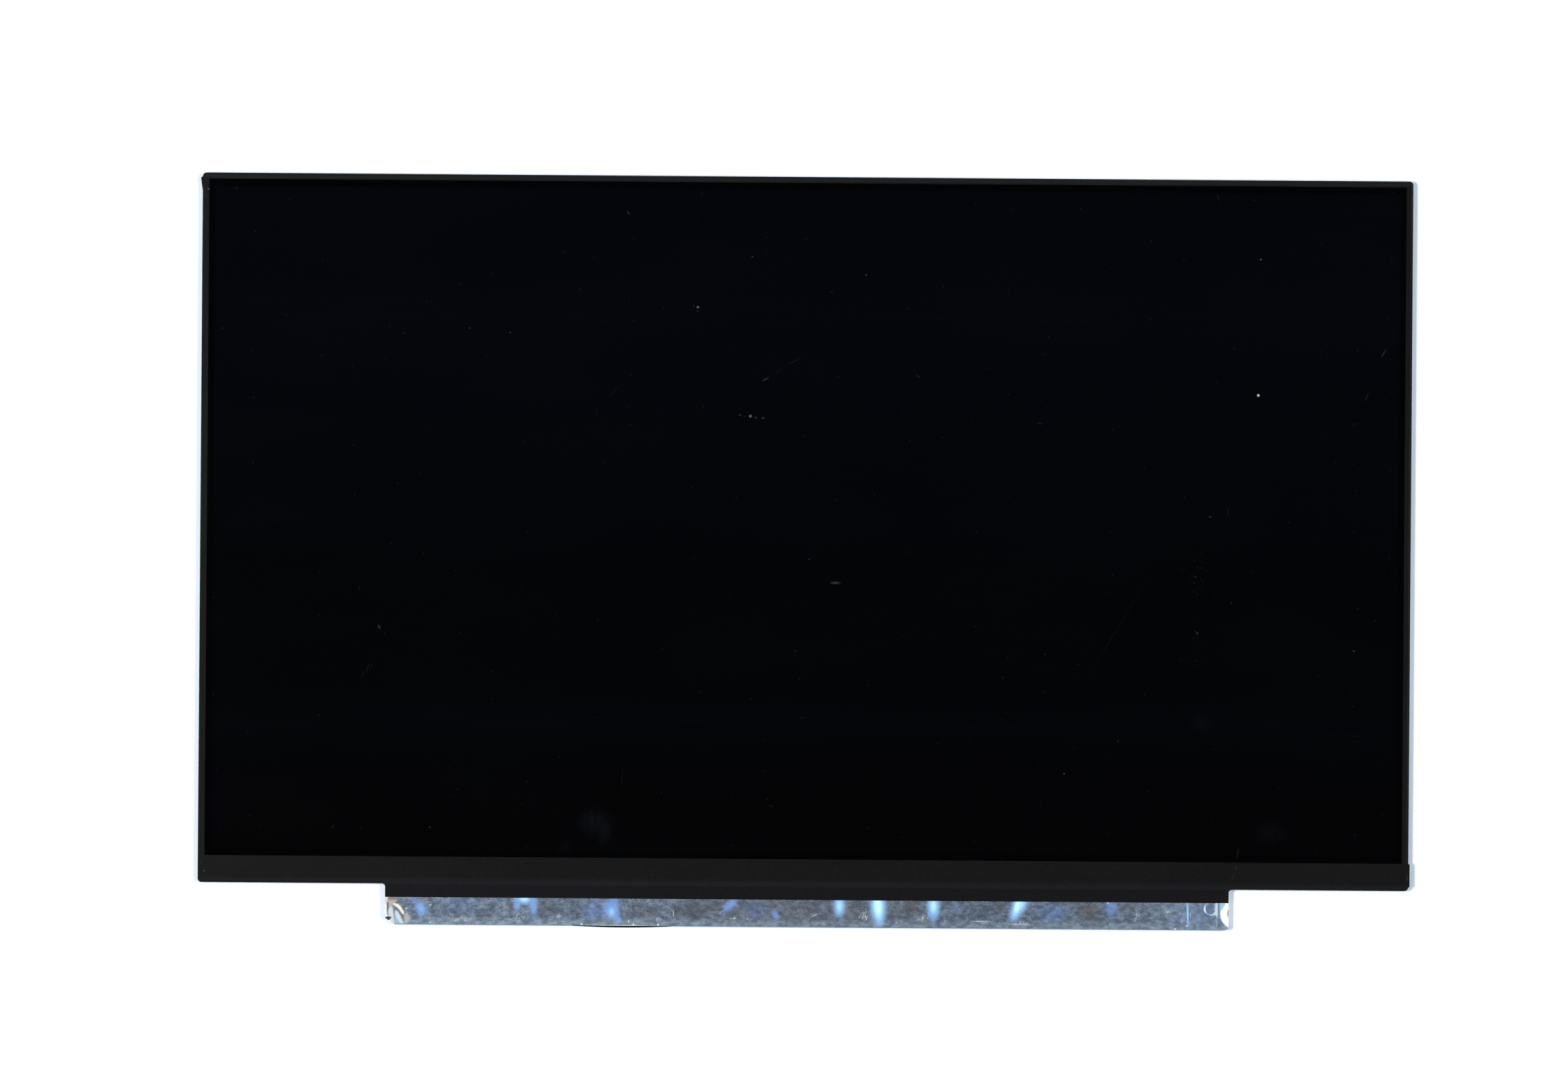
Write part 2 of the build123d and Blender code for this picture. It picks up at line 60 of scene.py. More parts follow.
class Steps:
    """Shading steps, added one by one to a tree of nodes."""

    def __init__(self, tree):
        self.tree = tree

    def feed(self, step, values):
        """Sets a step's sockets to plain values, or joins them to other steps."""
        for socket, value in values.items():
            if isinstance(value, bpy.types.NodeSocket):
                self.tree.links.new(value, step.inputs[socket])
            else:
                step.inputs[socket].default_value = value

    def step(self, kind, values=None, **settings):
        """Adds one step."""
        made = self.tree.nodes.new("ShaderNode" + kind)
        for key, value in settings.items():
            setattr(made, key, value)
        self.feed(made, values or {})
        return made

    def level(self, value, low, high, to_low=0.0, to_high=1.0):
        """A value carried smoothly from one range to another."""
        values = {"Value": value, "From Min": low, "From Max": high, "To Min": to_low, "To Max": to_high}
        step = self.step("MapRange", values, interpolation_type="SMOOTHSTEP", clamp=False)
        return step.outputs["Result"]

    def join(self, way, first, second):
        """Two values put together."""
        return self.step("Math", {0: first, 1: second}, operation=way).outputs["Value"]

    def times(self, first, second):
        """One value weakened by another."""
        return self.join("MULTIPLY", first, second)

    def most(self, greatest, *others):
        """The greatest of several values."""
        for value in others:
            greatest = self.join("MAXIMUM", greatest, value)
        return greatest

    def mix(self, share, first, second, way="MIX"):
        """One colour laid over another."""
        step = self.step("Mix", {0: share, 6: first, 7: second}, data_type="RGBA", blend_type=way)
        return step.outputs[2]

    def coats(self, ground, *layers):
        """Colours laid over a ground one after another, each with its share."""
        for share, colour in layers:
            ground = self.mix(share, ground, shade(*colour))
        return ground


class Finish(Steps):
    """The finish of one kind of surface, built up on its shader."""

    def __init__(self, name, gloss=0.5, metal=0.0, plain=None):
        self.material = bpy.data.materials.new(name)
        self.material.use_nodes = True
        super().__init__(self.material.node_tree)
        self.shader = self.tree.nodes["Principled BSDF"]
        self.feed(self.shader, {"Specular IOR Level": gloss, "Metallic": metal, **(plain or {})})
        self.place = self.step("TexCoord").outputs["Object"]

    def cloud(self, size, detail=3.0, start=0.0, warp=0.0):
        """Cloudy patches of about this size, or this size on each axis, in millimetres."""
        sizes = size if isinstance(size, tuple) else (size, size, size)
        scale = [1 / (length * mm) for length in sizes]
        values = {"Vector": self.place, "Location": (start, start, start), "Scale": scale}
        where = self.step("Mapping", values).outputs["Vector"]
        values = {"Vector": where, "Scale": 1.0, "Detail": detail, "Distortion": warp}
        return self.step("TexNoise", values).outputs["Fac"]

    def spread(self, cloud, to_low=0.0, to_high=1.0):
        """The range in which most of a cloud lies, carried to another."""
        return self.level(cloud, 0.3, 0.7, to_low, to_high)

    def lines(self, scale, way, warp=0.0):
        """Parallel lines, as tracks, threads and ridges have them."""
        values = {"Vector": self.place, "Scale": scale, "Distortion": warp}
        return self.step("TexWave", values, wave_type="BANDS", bands_direction=way).outputs["Fac"]

    def along(self, axis):
        """The place along one axis, in metres."""
        return self.step("SeparateXYZ", {0: self.place}).outputs[axis]

    def across(self, axis, low, high, to_low=0.0, to_high=1.0):
        """A value that changes smoothly along one axis, between two places in millimetres."""
        return self.level(self.along(axis), low * mm, high * mm, to_low, to_high)

    def specks(self, level, places):
        """Round specks at (x, y) with a radius, all in millimetres, each with its own strength."""
        total = 0.0
        for x, y, radius, strength in places:
            middle = (x * mm, y * mm, level * mm)
            far = self.step("VectorMath", {0: self.place, 1: middle}, operation="DISTANCE").outputs["Value"]
            total = self.most(self.level(far, 0.0, radius * mm, strength, 0.0), total)
        return total

    def strokes(self, places):
        """Soft strokes at (x, y), each with its half length, half width, turn in degrees and strength."""
        total = 0.0
        for x, y, length, width, turn, strength in places:
            values = {
                "Vector": self.place,
                "Location": (x * mm, y * mm, 0.0),
                "Rotation": (0.0, 0.0, math.radians(turn)),
                "Scale": (length * mm, width * mm, 1.0),
            }
            near = self.step("Mapping", values, vector_type="TEXTURE").outputs["Vector"]
            far = self.step("VectorMath", {0: near}, operation="LENGTH").outputs["Value"]
            total = self.most(self.level(far, 0.1, 1.0, strength, 0.0), total)
        return total

    def raise_by(self, height, depth, under=None):
        """Lets a pattern stand up from the surface by so many millimetres."""
        values = {"Height": height, "Distance": depth * mm, "Strength": 1.0}
        if under:
            values["Normal"] = under
        return self.step("Bump", values).outputs["Normal"]

    def wear(self, **patterns):
        """Joins the finished patterns to the shader."""
        for key, pattern in patterns.items():
            self.feed(self.shader, {"Base Color" if key == "colour" else key.capitalize(): pattern})


def dress(finish, *names):
    """Puts a finish on CAD pieces, whose shapes stay as they are."""
    for name in names:
        pieces[name].data.materials.clear()
        pieces[name].data.materials.append(finish.material)


plate = Finish("satin_plate", metal=1.0)
plate_grain = plate.cloud((18, 0.22, 18), detail=4)
plate_rub = plate.cloud((38, 26, 38), detail=4, start=3.0, warp=0.6)
plate_hair = plate.cloud((7, 0.12, 7), detail=2, start=9.0)
plate.wear(
    colour=plate.coats(
        shade(190, 192, 196),
        (plate.level(plate_rub, 0.3, 0.75), (195, 197, 200)),
        (plate.level(plate_hair, 0.68, 0.74, 0, 0.35), (226, 227, 229)),
        (plate.level(plate_grain, 0.3, 0.75, 0, 0.35), (160, 163, 168)),
    ),
    roughness=plate.level(plate_rub, 0.3, 0.75, 0.44, 0.42),
    normal=plate.raise_by(plate_grain, 0.006),
)
dress(plate, "back_plate")


# Mould frame: one injection-moulded ring of black polycarbonate that snaps into the tray's windows.
# It carries the glass on a ledge, and shows only through the windows and at the flexes' gateway.
moulding = Finish("moulded_frame", gloss=0.4)
moulding_grit = moulding.cloud(0.12, detail=2)
moulding_flow = moulding.cloud(9, start=1.7)
moulding.wear(
    colour=moulding.mix(moulding.spread(moulding_flow), shade(24, 24, 26), shade(33, 33, 35)),
    roughness=moulding.spread(moulding_grit, 0.5, 0.62),
    normal=moulding.raise_by(moulding_grit, 0.01),
)
dress(moulding, "mould_frame")


# Backlight: a white mirror sheet, an acrylic light guide with printed dots, a diffuser and two ridged
# prism sheets lie loose in the tray, lit along the lower edge by lamps on a strip of flexible circuit.
def grained(name, size, colours, roughness, gloss=0.5, metal=0.0, detail=3.0, relief=0.0):
    """A finish with one grain, which sets its colour between two, its roughness and its relief."""
    finish = Finish(name, gloss, metal)
    grain = finish.cloud(size, detail)
    finish.wear(
        colour=finish.mix(grain, shade(*colours[0]), shade(*colours[1])),
        roughness=finish.spread(grain, *roughness),
    )
    if relief:
        finish.wear(normal=finish.raise_by(grain, relief))
    return finish


mirror_sheet = grained(
    "white_mirror_sheet", 22, [(232, 235, 236), (244, 245, 244)], (0.2, 0.3), gloss=0.6
)
dress(mirror_sheet, "reflector_sheet")

guide = Finish("dotted_acrylic", plain={"IOR": 1.49, "Roughness": 0.08})
dot_field = guide.step("TexVoronoi", {"Vector": guide.place, "Scale": 900.0, "Randomness": 0.3})
guide_dots = guide.level(dot_field.outputs["Distance"], 0.25, 0.35, 1.0, 0.0)
guide.wear(colour=guide.mix(guide_dots, shade(206, 218, 216), shade(244, 247, 246)))
dress(guide, "light_guide")

ridged_sheet = Finish("ridged_sheet")
ridges = ridged_sheet.lines(3200.0, "Y")
ridged_sheet.wear(
    colour=ridged_sheet.mix(ridges, shade(216, 221, 222), shade(236, 239, 240)),
    roughness=ridged_sheet.level(ridges, 0.0, 1.0, 0.22, 0.4),
    normal=ridged_sheet.raise_by(ridges, 0.01),
)
dress(ridged_sheet, "diffuser_sheet", "lower_prism_sheet", "upper_prism_sheet")

lamp_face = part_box("leds")[1].y / mm
lamp_body = Finish("lamp_body", gloss=0.4)
lamp_window = lamp_body.across("Y", lamp_face - 0.25, lamp_face - 0.15)
lamp_speck = lamp_body.cloud(0.3, detail=2)
lamp_white = lamp_body.mix(lamp_speck, shade(228, 228, 222), shade(243, 243, 239))
lamp_body.wear(
    colour=lamp_body.mix(lamp_window, lamp_white, shade(232, 206, 74)),
    roughness=lamp_body.spread(lamp_speck, 0.35, 0.5),
)
dress(lamp_body, "leds")


def tracked(name, scale, size, ambers, copper, roughness, painted, raised, relief):
    """A polyimide film whose copper tracks show through it, darker and a little raised."""
    finish = Finish(name)
    tracks = finish.lines(scale, "X")
    cloud = finish.cloud(size)
    amber = finish.mix(cloud, shade(*ambers[0]), shade(*ambers[1]))
    finish.wear(
        colour=finish.mix(finish.level(tracks, *painted), amber, shade(*copper)),
        roughness=finish.spread(cloud, *roughness),
        normal=finish.raise_by(finish.level(tracks, *raised), relief),
    )
    return finish


lamp_strip = tracked(
    "amber_lamp_strip", 260.0, 3, [(176, 104, 30), (198, 124, 42)], (150, 82, 26),
    roughness=(0.28, 0.42), painted=(0.45, 0.6), raised=(0.4, 0.6), relief=0.01,
)
dress(lamp_strip, "led_flex")


# Glass cell: two thin glass plates sealed together with the liquid crystal between them, a dark
# polarising film on the back, and a black adhesive ring that bonds the cell to the frame's ledge.
cell_glass = Finish("cell_glass", plain={"IOR": 1.51, "Roughness": 0.05})
cell_glass.wear(colour=cell_glass.mix(cell_glass.cloud(40, detail=2), shade(24, 34, 32), shade(34, 46, 43)))
dress(cell_glass, "array_glass", "colour_filter_glass")

rear_film = grained("rear_polarising_film", 30, [(38, 38, 42), (47, 47, 52)], (0.3, 0.42), gloss=0.4)
dress(rear_film, "rear_polariser")

ring_tape = grained(
    "bonding_ring", 0.3, [(18, 18, 19), (27, 27, 28)], (0.5, 0.65), gloss=0.3, relief=0.008
)
dress(ring_tape, "rim_tape")


# Driver dies and flexes: bare silicon dies are bonded straight onto the glass ledge, and four short
# polyimide flexes carry their lines, in fine copper tracks, from the ledge to the control board.
die_silicon = grained(
    "silicon_die", (0.8, 0.2, 0.8), [(66, 68, 76), (92, 95, 104)], (0.15, 0.26), metal=0.6
)
dress(die_silicon, "driver_chips")

flex_film = tracked(
    "copper_track_flex", 800.0, 2, [(160, 92, 28), (184, 112, 38)], (122, 66, 24),
    roughness=(0.25, 0.4), painted=(0.4, 0.6), raised=(0.35, 0.65), relief=0.008,
)
dress(flex_film, "board_flexes")


# Control board: a long narrow strip of glass-fibre laminate under green solder mask, with its copper
# tracks just showing through the mask. Small parts are soldered on its rear face.
board = Finish("green_mask")
board_weave = board.lines(560.0, "DIAGONAL", warp=1.0)
track_runs = board.cloud((30, 0.9, 30), detail=0, start=6.0)
tracks = board.times(board.level(board.lines(520.0, "Y"), 0.4, 0.55), board.level(track_runs, 0.46, 0.48))
board_green = board.mix(board_weave, shade(14, 62, 40), shade(17, 70, 46))
board_faces = board.mix(tracks, board_green, shade(30, 98, 62))
board_up = board.step("SeparateXYZ", {0: board.step("NewGeometry").outputs["Normal"]}).outputs["Z"]
board_flat = board.level(board.join("ABSOLUTE", board_up, 0.0), 0.4, 0.6)
board.wear(
    colour=board.mix(board_flat, shade(150, 142, 96), board_faces),
    roughness=board.level(board_weave, 0.0, 1.0, 0.3, 0.38),
    normal=board.raise_by(tracks, 0.02),
)
dress(board, "control_board")

chip_plastic = grained(
    "chip_moulding", 0.08, [(30, 30, 32), (40, 40, 42)], (0.55, 0.7), gloss=0.4, detail=2, relief=0.008
)
dress(chip_plastic, "timing_chip", "memory_chip", "power_chip", "backlight_chip")

coil_ferrite = grained(
    "coil_ferrite", 0.25, [(70, 70, 72), (98, 97, 97)], (0.6, 0.8), gloss=0.3, detail=4, relief=0.02
)
dress(coil_ferrite, "power_coils")

capacitor_ceramic = grained(
    "capacitor_ceramic", 0.2, [(148, 112, 78), (172, 134, 98)], (0.4, 0.55), gloss=0.4
)
dress(capacitor_ceramic, "capacitors")

resistor_ceramic = grained("resistor_ceramic", 0.2, [(20, 20, 22), (32, 32, 34)], (0.3, 0.45))
dress(resistor_ceramic, "resistors")


# Data connector: a socket for the display cable, soldered to the board's rear at its lower edge.
# A black moulded housing holds thirty gold-plated contacts, inside a folded shell of bright steel.
socket_plastic = grained(
    "socket_moulding", 0.15, [(26, 26, 27), (34, 34, 35)], (0.4, 0.55), gloss=0.4, detail=2
)
dress(socket_plastic, "connector_housing")

shell_steel = grained(
    "folded_steel", (4, 0.1, 4), [(188, 188, 184), (214, 213, 208)], (0.24, 0.38), metal=1.0, relief=0.003
)
dress(shell_steel, "connector_shell")

contact_gold = grained("gold_plating", 0.3, [(226, 180, 92), (240, 200, 120)], (0.2, 0.34), metal=1.0)
dress(contact_gold, "connector_contacts")


# Solder and pads: what holds the small parts to the rear of the board. Each ceramic part has tinned end
# caps, each chip a row of soldered pads on every side, and the bare laminate shows gold test pads and vias.
solder = grained(
    "tinned_solder", 0.3, [(186, 188, 190), (214, 215, 214)], (0.26, 0.42), metal=1.0, relief=0.01
)
small_forms = {
    "block": ("MeshCube", {}),
    "bead": ("MeshIcoSphere", {"Radius": 0.5, "Subdivisions": 2}),
    "disc": ("MeshCylinder", {"Radius": 0.5, "Depth": 1.0, "Vertices": 20}),
}


def add(name, data):
    """An object of the scene."""
    made = bpy.data.objects.new(name, data)
    bpy.context.scene.collection.objects.link(made)
    return made


def settle(piece):
    """A piece's modifiers turned into plain mesh."""
    made = bpy.data.meshes.new_from_object(piece.evaluated_get(bpy.context.evaluated_depsgraph_get()))
    piece.modifiers.clear()
    piece.data = made
    return made


def lay_copies(name, form, size, places, finish, bevel=0.0):
    """Copies of one small form, of a length, width and height, at places on the board in millimetres."""
    tree = bpy.data.node_groups.new(name, "GeometryNodeTree")
    tree.interface.new_socket("Geometry", in_out="INPUT", socket_type="NodeSocketGeometry")
    tree.interface.new_socket("Geometry", in_out="OUTPUT", socket_type="NodeSocketGeometry")
    sizes = {}
    for label, length in zip(("Length", "Width", "Height"), size):
        socket = tree.interface.new_socket(label, in_out="INPUT", socket_type="NodeSocketFloat")
        sizes[socket.identifier] = length * mm
    kind, settings = small_forms[form]
    start = tree.nodes.new("NodeGroupInput")
    one = tree.nodes.new("GeometryNode" + kind)
    stretch = tree.nodes.new("ShaderNodeCombineXYZ")
    set_out = tree.nodes.new("GeometryNodeInstanceOnPoints")
    solid = tree.nodes.new("GeometryNodeRealizeInstances")
    coat = tree.nodes.new("GeometryNodeSetMaterial")
    end = tree.nodes.new("NodeGroupOutput")
    for label, value in settings.items():
        one.inputs[label].default_value = value
    coat.inputs["Material"].default_value = finish.material
    for source, outlet, target, inlet in (
        (start, "Length", stretch, "X"),
        (start, "Width", stretch, "Y"),
        (start, "Height", stretch, "Z"),
        (start, "Geometry", set_out, "Points"),
        (one, "Mesh", set_out, "Instance"),
        (stretch, "Vector", set_out, "Scale"),
        (set_out, "Instances", solid, "Geometry"),
        (solid, "Geometry", coat, "Geometry"),
        (coat, "Geometry", end, "Geometry"),
    ):
        tree.links.new(source.outputs[outlet], target.inputs[inlet])
    points = bpy.data.meshes.new(name)
    points.from_pydata([tuple(value * mm for value in place) for place in places], [], [])
    piece = add(name, points)
    copies = piece.modifiers.new("copies", "NODES")
    copies.node_group = tree
    for identifier, length in sizes.items():
        copies[identifier] = length
    if bevel:
        edges = piece.modifiers.new("edges", "BEVEL")
        edges.width = bevel * mm
        edges.segments = 2
    made = settle(piece)
    if form == "bead":
        made.polygons.foreach_set("use_smooth", [True] * len(made.polygons))
    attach(piece, "root")


def corners(name):
    """A CAD piece's lowest and highest corners, in millimetres."""
    return [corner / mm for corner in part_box(name)]


def evenly(low, high, pitch):
    """Places at an even pitch about the middle of a stretch."""
    count = int((high - low) / pitch) + 1
    return [(low + high) / 2 + (index - (count - 1) / 2) * pitch for index in range(count)]


board_low, board_high = corners("control_board")
board_rear = board_low.z
chip_boxes = [corners(name) for name in ("timing_chip", "power_chip", "backlight_chip")]
capacitor_low, capacitor_high = corners("capacitors")
capacitor_off, capacitor_pitch, capacitor_half = 0.9, 1.8, 0.5
cap_inset, cap_proud, bead_out = 0.1, 0.02, 0.16
pad_pitch, pad_inset, pad_out = 0.5, 0.5, 0.08
dot_inset = 0.9
cap_places, bead_places, side_pads, end_pads, dot_places = [], [], [], [], []
for chip_low, chip_high in chip_boxes:
    middle_y = (chip_low.y + chip_high.y) / 2
    for column_x in (chip_low.x - capacitor_off, chip_high.x + capacitor_off):
        for row in (-1, 0, 1):
            for cap_end in (-1, 1):
                cap_y = middle_y + row * capacitor_pitch + cap_end * (capacitor_half - cap_inset)
                cap_places.append((column_x, cap_y, (capacitor_low.z + board_rear) / 2))
                bead_places.append((column_x, cap_y + cap_end * bead_out, board_rear))
    for pad_x in evenly(chip_low.x + pad_inset, chip_high.x - pad_inset, pad_pitch):
        end_pads += [(pad_x, chip_low.y - pad_out, board_rear), (pad_x, chip_high.y + pad_out, board_rear)]
    for pad_y in evenly(chip_low.y + pad_inset, chip_high.y - pad_inset, pad_pitch):
        side_pads += [(chip_low.x - pad_out, pad_y, board_rear), (chip_high.x + pad_out, pad_y, board_rear)]
    dot_places.append((chip_low.x + dot_inset, chip_high.y - dot_inset, chip_low.z))
memory_low, memory_high = corners("memory_chip")
memory_pitch, memory_inset, leg_out = 0.65, 0.4, 0.12
for leg_x in evenly(memory_low.x + memory_inset, memory_high.x - memory_inset, memory_pitch):
    end_pads += [(leg_x, memory_low.y - leg_out, board_rear), (leg_x, memory_high.y + leg_out, board_rear)]

resistor_low, resistor_high = corners("resistors")
resistor_count, resistor_half = 8, 0.3
resistor_caps = []
resistor_ends = resistor_low.x + resistor_half, resistor_high.x - resistor_half
for resistor_x in np.linspace(*resistor_ends, resistor_count):
    for cap_y, turn_out in ((resistor_low.y + cap_inset, -1), (resistor_high.y - cap_inset, 1)):
        resistor_caps.append((resistor_x, cap_y, (resistor_low.z + board_rear) / 2))
        bead_places.append((resistor_x, cap_y + turn_out * bead_out, board_rear))

shell_low, shell_high = corners("connector_shell")
contact_low, contact_high = corners("connector_contacts")
contact_count, contact_half = 30, 0.1
contact_row = np.linspace(contact_low.x + contact_half, contact_high.x - contact_half, contact_count)
contact_beads = [(x, contact_high.y, board_rear) for x in contact_row]
tab_out, tab_sink = 0.3, 0.04
tab_rows = (shell_low.y + 1.9, shell_high.y - 0.6)
tab_columns = (shell_low.x - tab_out, shell_high.x + tab_out)
shell_tabs = [(x, y, board_rear - tab_sink) for x in tab_columns for y in tab_rows]
tail_off, joint_sink = 33.0, 0.05
lamp_tail_x = (board_low.x + board_high.x) / 2 + tail_off
lamp_tail_end = corners("led_flex")[0].y
tail_joints = [(lamp_tail_x + step, lamp_tail_end, board_rear - joint_sink) for step in range(-5, 6)]

capacitor_cap = (0.53, 0.24, capacitor_high.z - capacitor_low.z + cap_proud)
resistor_cap = (0.63, 0.22, board_rear - resistor_low.z + cap_proud)
for name, form, size, places, bevel in (
    ("capacitor_caps", "block", capacitor_cap, cap_places, 0.05),
    ("resistor_caps", "block", resistor_cap, resistor_caps, 0.04),
    ("solder_beads", "bead", (0.6, 0.5, 0.36), bead_places, 0.0),
    ("chip_end_pads", "bead", (0.26, 0.5, 0.16), end_pads, 0.0),
    ("chip_side_pads", "bead", (0.5, 0.26, 0.16), side_pads, 0.0),
    ("contact_beads", "bead", (0.3, 0.6, 0.22), contact_beads, 0.0),
    ("socket_tabs", "block", (0.8, 1.2, 0.16), shell_tabs, 0.05),
    ("lamp_tail_joints", "bead", (0.7, 1.0, 0.3), tail_joints, 0.0),
):
    lay_copies(name, form, size, places, solder, bevel)

test_rows = ((-100.0, -93.0, -97.2), (22.0, 26.0, -98.4), (44.0, 62.0, -102.6), (-30.0, -12.0, -97.4))
test_pitch = 2.0
pad_places = [(x, y, board_rear) for low, high, y in test_rows for x in evenly(low, high, test_pitch)]
chip_margin, shell_margin, tail_half = 1.8, 1.5, 6.5
kept_free = [(low.x - chip_margin, high.x + chip_margin) for low, high in chip_boxes]
kept_free.append((shell_low.x - shell_margin, shell_high.x + shell_margin))
kept_free.append((lamp_tail_x - tail_half, lamp_tail_x + tail_half))
via_count, via_apart = 150, 0.9
via_left, via_right = board_low.x + 2, board_high.x - 5
via_foot, via_top = -104.0, -96.2
scatter = np.random.RandomState(11)
via_places = []
while len(via_places) < via_count:
    x = scatter.uniform(via_left, via_right)
    y = scatter.uniform(via_foot, via_top)
    in_the_way = any(low < x < high for low, high in kept_free)
    too_near = any(math.hypot(x - other[0], y - other[1]) < via_apart for other in via_places + pad_places)
    if not (in_the_way or too_near):
        via_places.append((x, y, board_rear))
lay_copies("via_rings", "disc", (0.42, 0.42, 0.03), via_places, contact_gold)
lay_copies("test_pads", "disc", (1.0, 1.0, 0.04), pad_places, contact_gold)
lay_copies("chip_dots", "disc", (0.5, 0.5, 0.02), dot_places, coil_ferrite)


# Shield foil: a strip of thin rolled aluminium stuck over the board and folded round its lower edge.
# It is dented where it was pressed down, with painted highlights on the dents' slopes, crumpled at its cut
# left end, pressed into the board's locating hole, and curled where it hangs past the board at the right.
# The crumpled and curled ends carry painted highlights and painted shade on their facets.
foil_low, foil_high = corners("shield_foil")
notch_low, notch_high = corners("connector_tape")
wrap_left = foil_low.x + 2.45
notch_edge = -105.83
tongue_edge, tongue_ramp = -98.75, 0.35
foil_level, foil_sag = 2.185, 0.004
foil_ceiling = 2.395
under_tongue = 2.24
foil_gauge = 0.03
foil_rows = 56
bend_radius = board_low.y - foil_low.y
flange_reach, flange_gap = 1.5, 0.06
corner_length, corner_rise = 2.6, 0.7
cut_height = 1.8
hole_x, hole_y, hole_radius = 106.28, -100.22, 1.5
hole_floor = 1.95
painted_ring_highlight = (132, 174, 224)

# Each dent: the middle of its bright slope, half length, half width, turn in degrees, steepness, and how
# far its painted highlight shows blue and then white.
foil_dents_and_painted_glints = [
    (-99.55, -101.8, 1.8, 1.25, 110, 0.16, 0.95, 0.2),
    (-101.5, -99.4, 1.6, 1.0, 120, 0.08, 0.35, 0.0),
    (-72.7, -99.0, 2.3, 1.3, 0, 0.24, 0.9, 0.7),
    (-74.5, -100.6, 1.7, 0.9, 85, 0.2, 0.75, 0.12),
    (-70.15, -100.6, 2.8, 0.95, 95, 0.16, 0.85, 0.15),
    (-49.9, -101.5, 2.3, 1.9, 90, 0.18, 0.85, 0.1),
    (-49.75, -102.3, 1.7, 1.1, 90, 0.18, 0.5, 0.42),
    (-49.2, -99.6, 1.9, 1.3, 0, 0.08, 0.35, 0.0),
    (-48.2, -104.0, 1.6, 0.9, 110, 0.13, 0.7, 0.05),
    (-18.9, -100.1, 2.4, 1.2, 48, 0.15, 0.74, 0.05),
    (-7.0, -102.8, 1.6, 0.95, 110, 0.14, 0.66, 0.0),
    (9.6, -100.1, 2.8, 1.5, 90, 0.18, 0.92, 0.64),
    (9.55, -100.5, 1.9, 0.9, 90, 0.18, 0.3, 0.5),
    (20.1, -102.9, 1.9, 0.95, 97, 0.2, 0.85, 0.5),
    (19.65, -100.1, 4.3, 1.9, 93, 0.28, 0.95, 1.0),
    (19.65, -100.2, 3.6, 1.25, 92, 0.28, 0.3, 1.0),
    (34.05, -102.0, 1.9, 1.05, 90, 0.14, 0.85, 0.15),
    (34.1, -100.1, 2.9, 1.6, 90, 0.24, 0.95, 0.75),
    (55.2, -102.2, 1.5, 1.05, 66, 0.14, 0.8, 0.45),
    (56.7, -99.5, 2.8, 1.7, 66, 0.22, 0.95, 0.85),
    (55.9, -100.1, 2.9, 1.15, 76, 0.28, 0.7, 1.0),
    (80.6, -99.9, 2.2, 1.8, 90, 0.1, 0.42, 0.0),
    (80.2, -102.6, 1.8, 1.6, 90, 0.05, 0.08, 0.0),
    (100.42, -101.4, 3.8, 0.3, 92, 0.22, 0.8, 0.5),
]
# The painted highlights on the dents' slopes: blue at their edges, pale and then white at their hearts.
painted_glint_blue = (94, 142, 224)
painted_glint_pale = (152, 228, 252)
painted_glint_white = (216, 254, 253)
